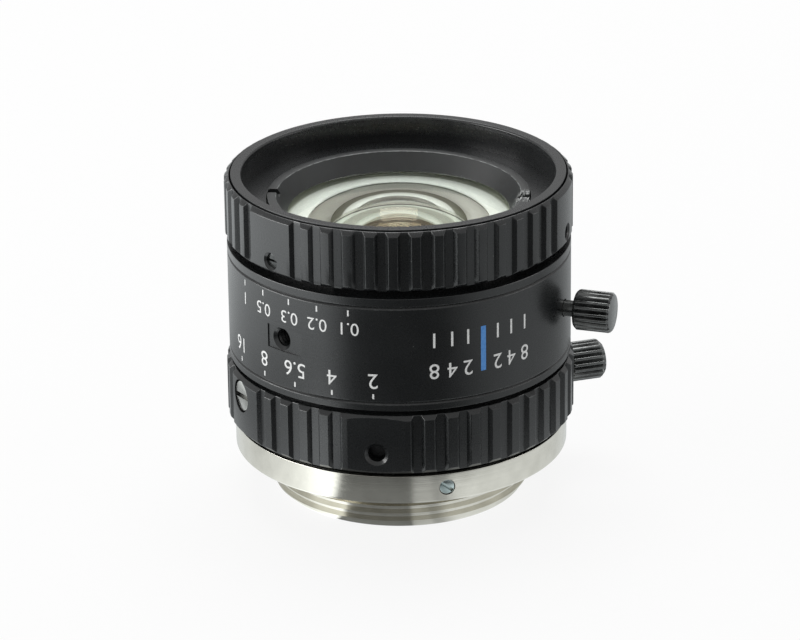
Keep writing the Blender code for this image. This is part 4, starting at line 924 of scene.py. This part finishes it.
# %% The marks
def scale(kind, marks, size, figure_z, tick_size, tick_z):
    """White figures, each with a tick, from a list of (text, bearing)."""
    for number, (text, bearing) in enumerate(marks):
        wrap(f"{kind}_figure_{number + 1}", figures(text, size), bearing, figure_z, white_enamel)
        wrap(f"{kind}_tick_{number + 1}", tick(*tick_size), bearing, tick_z, white_enamel)


scale("distance", (("1", -62.0), ("0.5", -51.0), ("0.3", -39.0), ("0.2", -28.0), ("0.1", -17.0)),
      size=1.8, figure_z=22.7, tick_size=(0.16, 0.6), tick_z=24.25)
scale("stop", (("16", -66.0), ("8", -51.0), ("5.6", -37.0), ("4", -23.0), ("2", -9.0)),
      size=2.2, figure_z=17.5, tick_size=(0.18, 0.5), tick_z=15.85)
wrap("index_bar", tick(0.55, 4.6), 28.0, 20.0, blue_enamel)
scale("depth", (("8", 11.0), ("4", 17.0), ("2", 22.5), ("2", 33.5), ("4", 39.0), ("8", 45.0)),
      size=2.2, figure_z=18.4, tick_size=(0.22, 1.5), tick_z=21.5)

# %% [markdown]
# ## Finishes on the solids that stay
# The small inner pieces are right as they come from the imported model, so they only get a finish.

# %% Finish the remaining solids
kept = {"guide_pin": steel, "helicoid_retainer": brass, "focus_helicoid": anodised,
        "iris_base": blackened_brass, "iris_cam_ring": blackened_brass, "rear_lens_spacer": anodised}
kept.update({f"iris_blade_{number}": black_oxide for number in range(1, 7)})
for node, finish in kept.items():
    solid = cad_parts[node]
    solid.data.materials.clear()
    solid.data.materials.append(finish)
print("finished", len(kept), "solids as they are")

# %% [markdown]
# ## The floor and the painted reflections around the lens
# The picture has a white ground. The floor is pale paper that keeps a soft shadow under the lens: what the
# camera sees of it is mostly plain white with a share of its real shading. The upright walls of the lens
# mirror the floor close around them, so the floor shows mirror rays painted reflections there, like cards
# that a studio would lay: white at the left, the right and the back, and dark in front, which gives the black
# walls their depth and the nickel its stripes. The painted reflections glow up to 2.7 times as bright as
# plain white. They are drawn on the floor by bearing and by distance, because the higher a wall stands, the
# further out it mirrors: the nickel ring mirrors the nearest ring of them, the iris ring the next, the foot
# of the barrel the third, and all above it the last. Only mirror reflections show them. Light that comes
# through the glass sees plain white, so that the painted reflections leave no dark wedge in the lenses.

# %% The painted reflections, as brightness by bearing
BRIGHTEST_PAINTED_REFLECTION = 2.7
PAINTED_REFLECTION_TINT = (0.95, 0.99, 1.0)


def painted_reflections(tree, place, stops):
    """A painted reflection: brightness round the lens axis, as a share of the brightest, from a list of
    (bearing, brightness).
    """
    around = add(tree, "TexGradient", {"gradient_type": "RADIAL", "Vector": place}, "Fac")
    reflection_ramp = add(tree, "ValToRGB", {"Fac": around}, "Color")
    points = reflection_ramp.node.color_ramp.elements
    places = sorted(((bearing / 360 + 0.25) % 1.0, level) for bearing, level in stops)
    while len(points) < len(places):
        points.new(0.5)
    for point, (position, level) in zip(points, places):
        point.position = position
        point.color = [level / BRIGHTEST_PAINTED_REFLECTION * share for share in PAINTED_REFLECTION_TINT] + [1.0]
    return reflection_ramp


# Painted reflections that each part's mirror rays see on the floor, as (bearing, brightness).
nickel_painted_reflections = (
    (-90.1, 0.85), (-70, 0.95), (-46, 1.5), (-33.5, 1.9), (-31, 0.24), (4.5, 0.22), (6, 0.62), (14.5, 0.62),
    (16, 0.45), (20, 0.52), (27, 0.98), (60, 0.90), (120, 0.75), (180, 0.75), (-89.9, 0.85))
iris_painted_reflections = (
    (-90.1, 0.55), (-75, 0.62), (-60, 1.1), (-46, 2.2), (-37, 2.1), (-33.5, 1.1), (-31, 0.08), (25, 0.05),
    (50, 0.45), (70, 0.55), (110, 0.4), (140, 0.6), (180, 0.7), (-130, 0.5), (-89.9, 0.55))
foot_painted_reflections = (
    (-90.1, 0.85), (-60, 0.36), (-46, 0.62), (-30, 0.08), (25, 0.05), (50, 0.45), (70, 0.55), (110, 0.4),
    (140, 0.6), (180, 0.7), (-130, 0.8), (-89.9, 0.85))
far_painted_reflections = (
    (-90.1, 1.6), (-60, 1.9), (-46, 1.7), (-30, 0.12), (25, 0.07), (50, 0.6), (70, 0.6), (110, 0.5),
    (140, 0.7), (180, 0.8), (-130, 1.2), (-89.9, 1.6))

# %% The floor
FLOOR_HALF_WIDTH = 1.5
FLOOR_BELOW = 0.02

floor_form = bmesh.new()
bmesh.ops.create_grid(floor_form, x_segments=1, y_segments=1, size=FLOOR_HALF_WIDTH,
                      matrix=Matrix.Translation((0, 0, -FLOOR_BELOW * MM)))
floor = new_object("paper_floor", floor_form)
print("painted_floor_reflection", floor.name)

# %% The paper and what it shows to each ray
PAPER_GRAIN = 1.5
PLAIN_WHITE = 0.88

paper, tree, place = new_finish("pale_paper")
rays = add(tree, "LightPath", {}).node.outputs
away = add(tree, "VectorMath", {"operation": "LENGTH", 0: place}, "Value")
# Mirror rays see the painted reflections, which glow up to 2.7 times white. The camera and light through the
# glass see plain white.
painted_floor_reflection = painted_reflections(tree, place, nickel_painted_reflections)
for start, end, ring in ((30.0, 36.0, iris_painted_reflections), (46.0, 50.0, foot_painted_reflections), (56.0, 84.0, far_painted_reflections)):
    beyond = add(tree, "MapRange", {"Value": away, "From Min": start, "From Max": end})
    painted_floor_reflection = add(tree, "Mix", {"data_type": "RGBA", 0: beyond, 6: painted_floor_reflection, 7: painted_reflections(tree, place, ring)}, 2)
direct = add(tree, "Math", {"operation": "SUBTRACT", 0: 1.0, 1: rays["Is Transmission Ray"]})
mirrored = add(tree, "Math", {"operation": "MULTIPLY", 0: rays["Is Glossy Ray"], 1: direct})
shown = add(tree, "Mix", {"data_type": "RGBA", 0: mirrored, 6: "ffffff", 7: painted_floor_reflection}, 2)
strength = add(tree, "MapRange", {"Value": mirrored, "To Min": 1.0, "To Max": BRIGHTEST_PAINTED_REFLECTION})
glow = add(tree, "Emission", {"Color": shown, "Strength": strength})
fibres = add(tree, "TexNoise", {"Vector": place, "Scale": 1 / PAPER_GRAIN, "Detail": 2.0}, "Fac")
tint = add(tree, "Mix", {"data_type": "RGBA", 0: fibres, 6: "e6e6e6", 7: "ececec"}, 2)
shaded = add(tree, "BsdfDiffuse", {"Color": tint})
seen = add(tree, "Math", {"operation": "MAXIMUM", 0: rays["Is Glossy Ray"], 1: rays["Is Transmission Ray"]})
mostly = add(tree, "Math", {"operation": "MULTIPLY", 0: rays["Is Camera Ray"], 1: PLAIN_WHITE})
share = add(tree, "Math", {"operation": "MAXIMUM", 0: seen, 1: mostly})
mixed = add(tree, "MixShader", {0: share, 1: shaded, 2: glow})
add(tree, "OutputMaterial", {"Surface": mixed})
floor.data.materials.append(paper)
print("painted", paper.name)

# %% [markdown]
# ## The room
# The camera and the glass see a white room. Mirror reflections see a greyer one, and everything else is lit
# by a dim one, so that the lamps and the cards make the contrast.

# %% The room
DIM_ROOM = 0.3
MIRRORED_ROOM = 0.52

world = bpy.data.worlds.new("studio")
bpy.context.scene.world = world
world.use_nodes = True
sky = world.node_tree
sky.nodes.clear()
rays = add(sky, "LightPath", {}).node.outputs
clear = add(sky, "Math", {"operation": "MAXIMUM", 0: rays["Is Camera Ray"], 1: rays["Is Transmission Ray"]})
dim = add(sky, "MapRange", {"Value": rays["Is Glossy Ray"], "To Min": DIM_ROOM, "To Max": MIRRORED_ROOM})
level = add(sky, "Math", {"operation": "MAXIMUM", 0: clear, 1: dim})
ground = add(sky, "Background", {"Color": "ffffff", "Strength": level})
add(sky, "OutputWorld", {"Surface": ground})
print("made the world", world.name)

# %% [markdown]
# ## Lamps
# A wide soft box on the left gives the broad pale band down the left of the barrel, and a weaker one on the
# right draws the edge of the ribs there. Both stand so low that the cone of the retaining ring doesn't
# mirror them. A third, overhead and behind, lights the rim, the bevels and the glass.

# %% Lamps
LAMP_AIM = Vector((0, 0, 0.016))


def soft_box(name, bearing, elevation, distance, width, height, strength):
    """An area lamp of a given brightness that faces the lens from a bearing."""
    lamp = bpy.data.lights.new(name, "AREA")
    lamp.shape, lamp.size, lamp.size_y = "RECTANGLE", width, height
    lamp.energy = strength * pi * width * height
    post = new_object(name, lamp)
    tilted = Vector((0, -cos(radians(elevation)), sin(radians(elevation))))
    out = Matrix.Rotation(radians(bearing), 4, "Z") @ tilted
    post.location = out * distance + LAMP_AIM
    post.rotation_euler = out.to_track_quat("Z", "Y").to_euler()
    print(name, "gives", round(lamp.energy, 2), "W")


soft_box("left_box", -80.0, 9.0, 0.45, 0.36, 0.22, 6.0)
soft_box("right_box", 85.0, 10.0, 0.60, 0.30, 0.20, 2.2)
soft_box("top_box", 180.0, 68.0, 0.60, 0.50, 0.40, 4.6)

# %% [markdown]
# ## Camera
# The camera stands 0.42 m away and looks down at 22.3 degrees, as measured from the ellipses of the rings,
# and it is tilted sideways by 0.7 degrees. So long a lens keeps the wall of the barrel nearly upright.

# %% Camera
CAMERA_ELEVATION = radians(22.316)
CAMERA_ROLL = radians(-0.689)
CAMERA_DISTANCE = 0.41998
FOCAL_LENGTH = 190.86
AIM = Vector((0, 0, 0.01687))

lens_data = bpy.data.cameras.new("camera")
lens_data.lens = FOCAL_LENGTH
lens_data.sensor_width = 36.0
lens_data.clip_start = 0.01
camera = new_object("camera", lens_data)
back = Vector((0, -cos(CAMERA_ELEVATION), sin(CAMERA_ELEVATION)))
level_up = Vector((0, sin(CAMERA_ELEVATION), cos(CAMERA_ELEVATION)))
side = Vector((1, 0, 0)) * cos(CAMERA_ROLL) + level_up * sin(CAMERA_ROLL)
up = Vector((-1, 0, 0)) * sin(CAMERA_ROLL) + level_up * cos(CAMERA_ROLL)
turn = Matrix((side, up, back)).transposed().to_4x4()
camera.matrix_world = Matrix.Translation(AIM + back * CAMERA_DISTANCE) @ turn
bpy.context.scene.camera = camera
bpy.context.scene.view_settings.view_transform = "Standard"
print("the camera stands at", [round(value, 3) for value in camera.matrix_world.translation])

# %% Finish
bpy.context.view_layer.update()
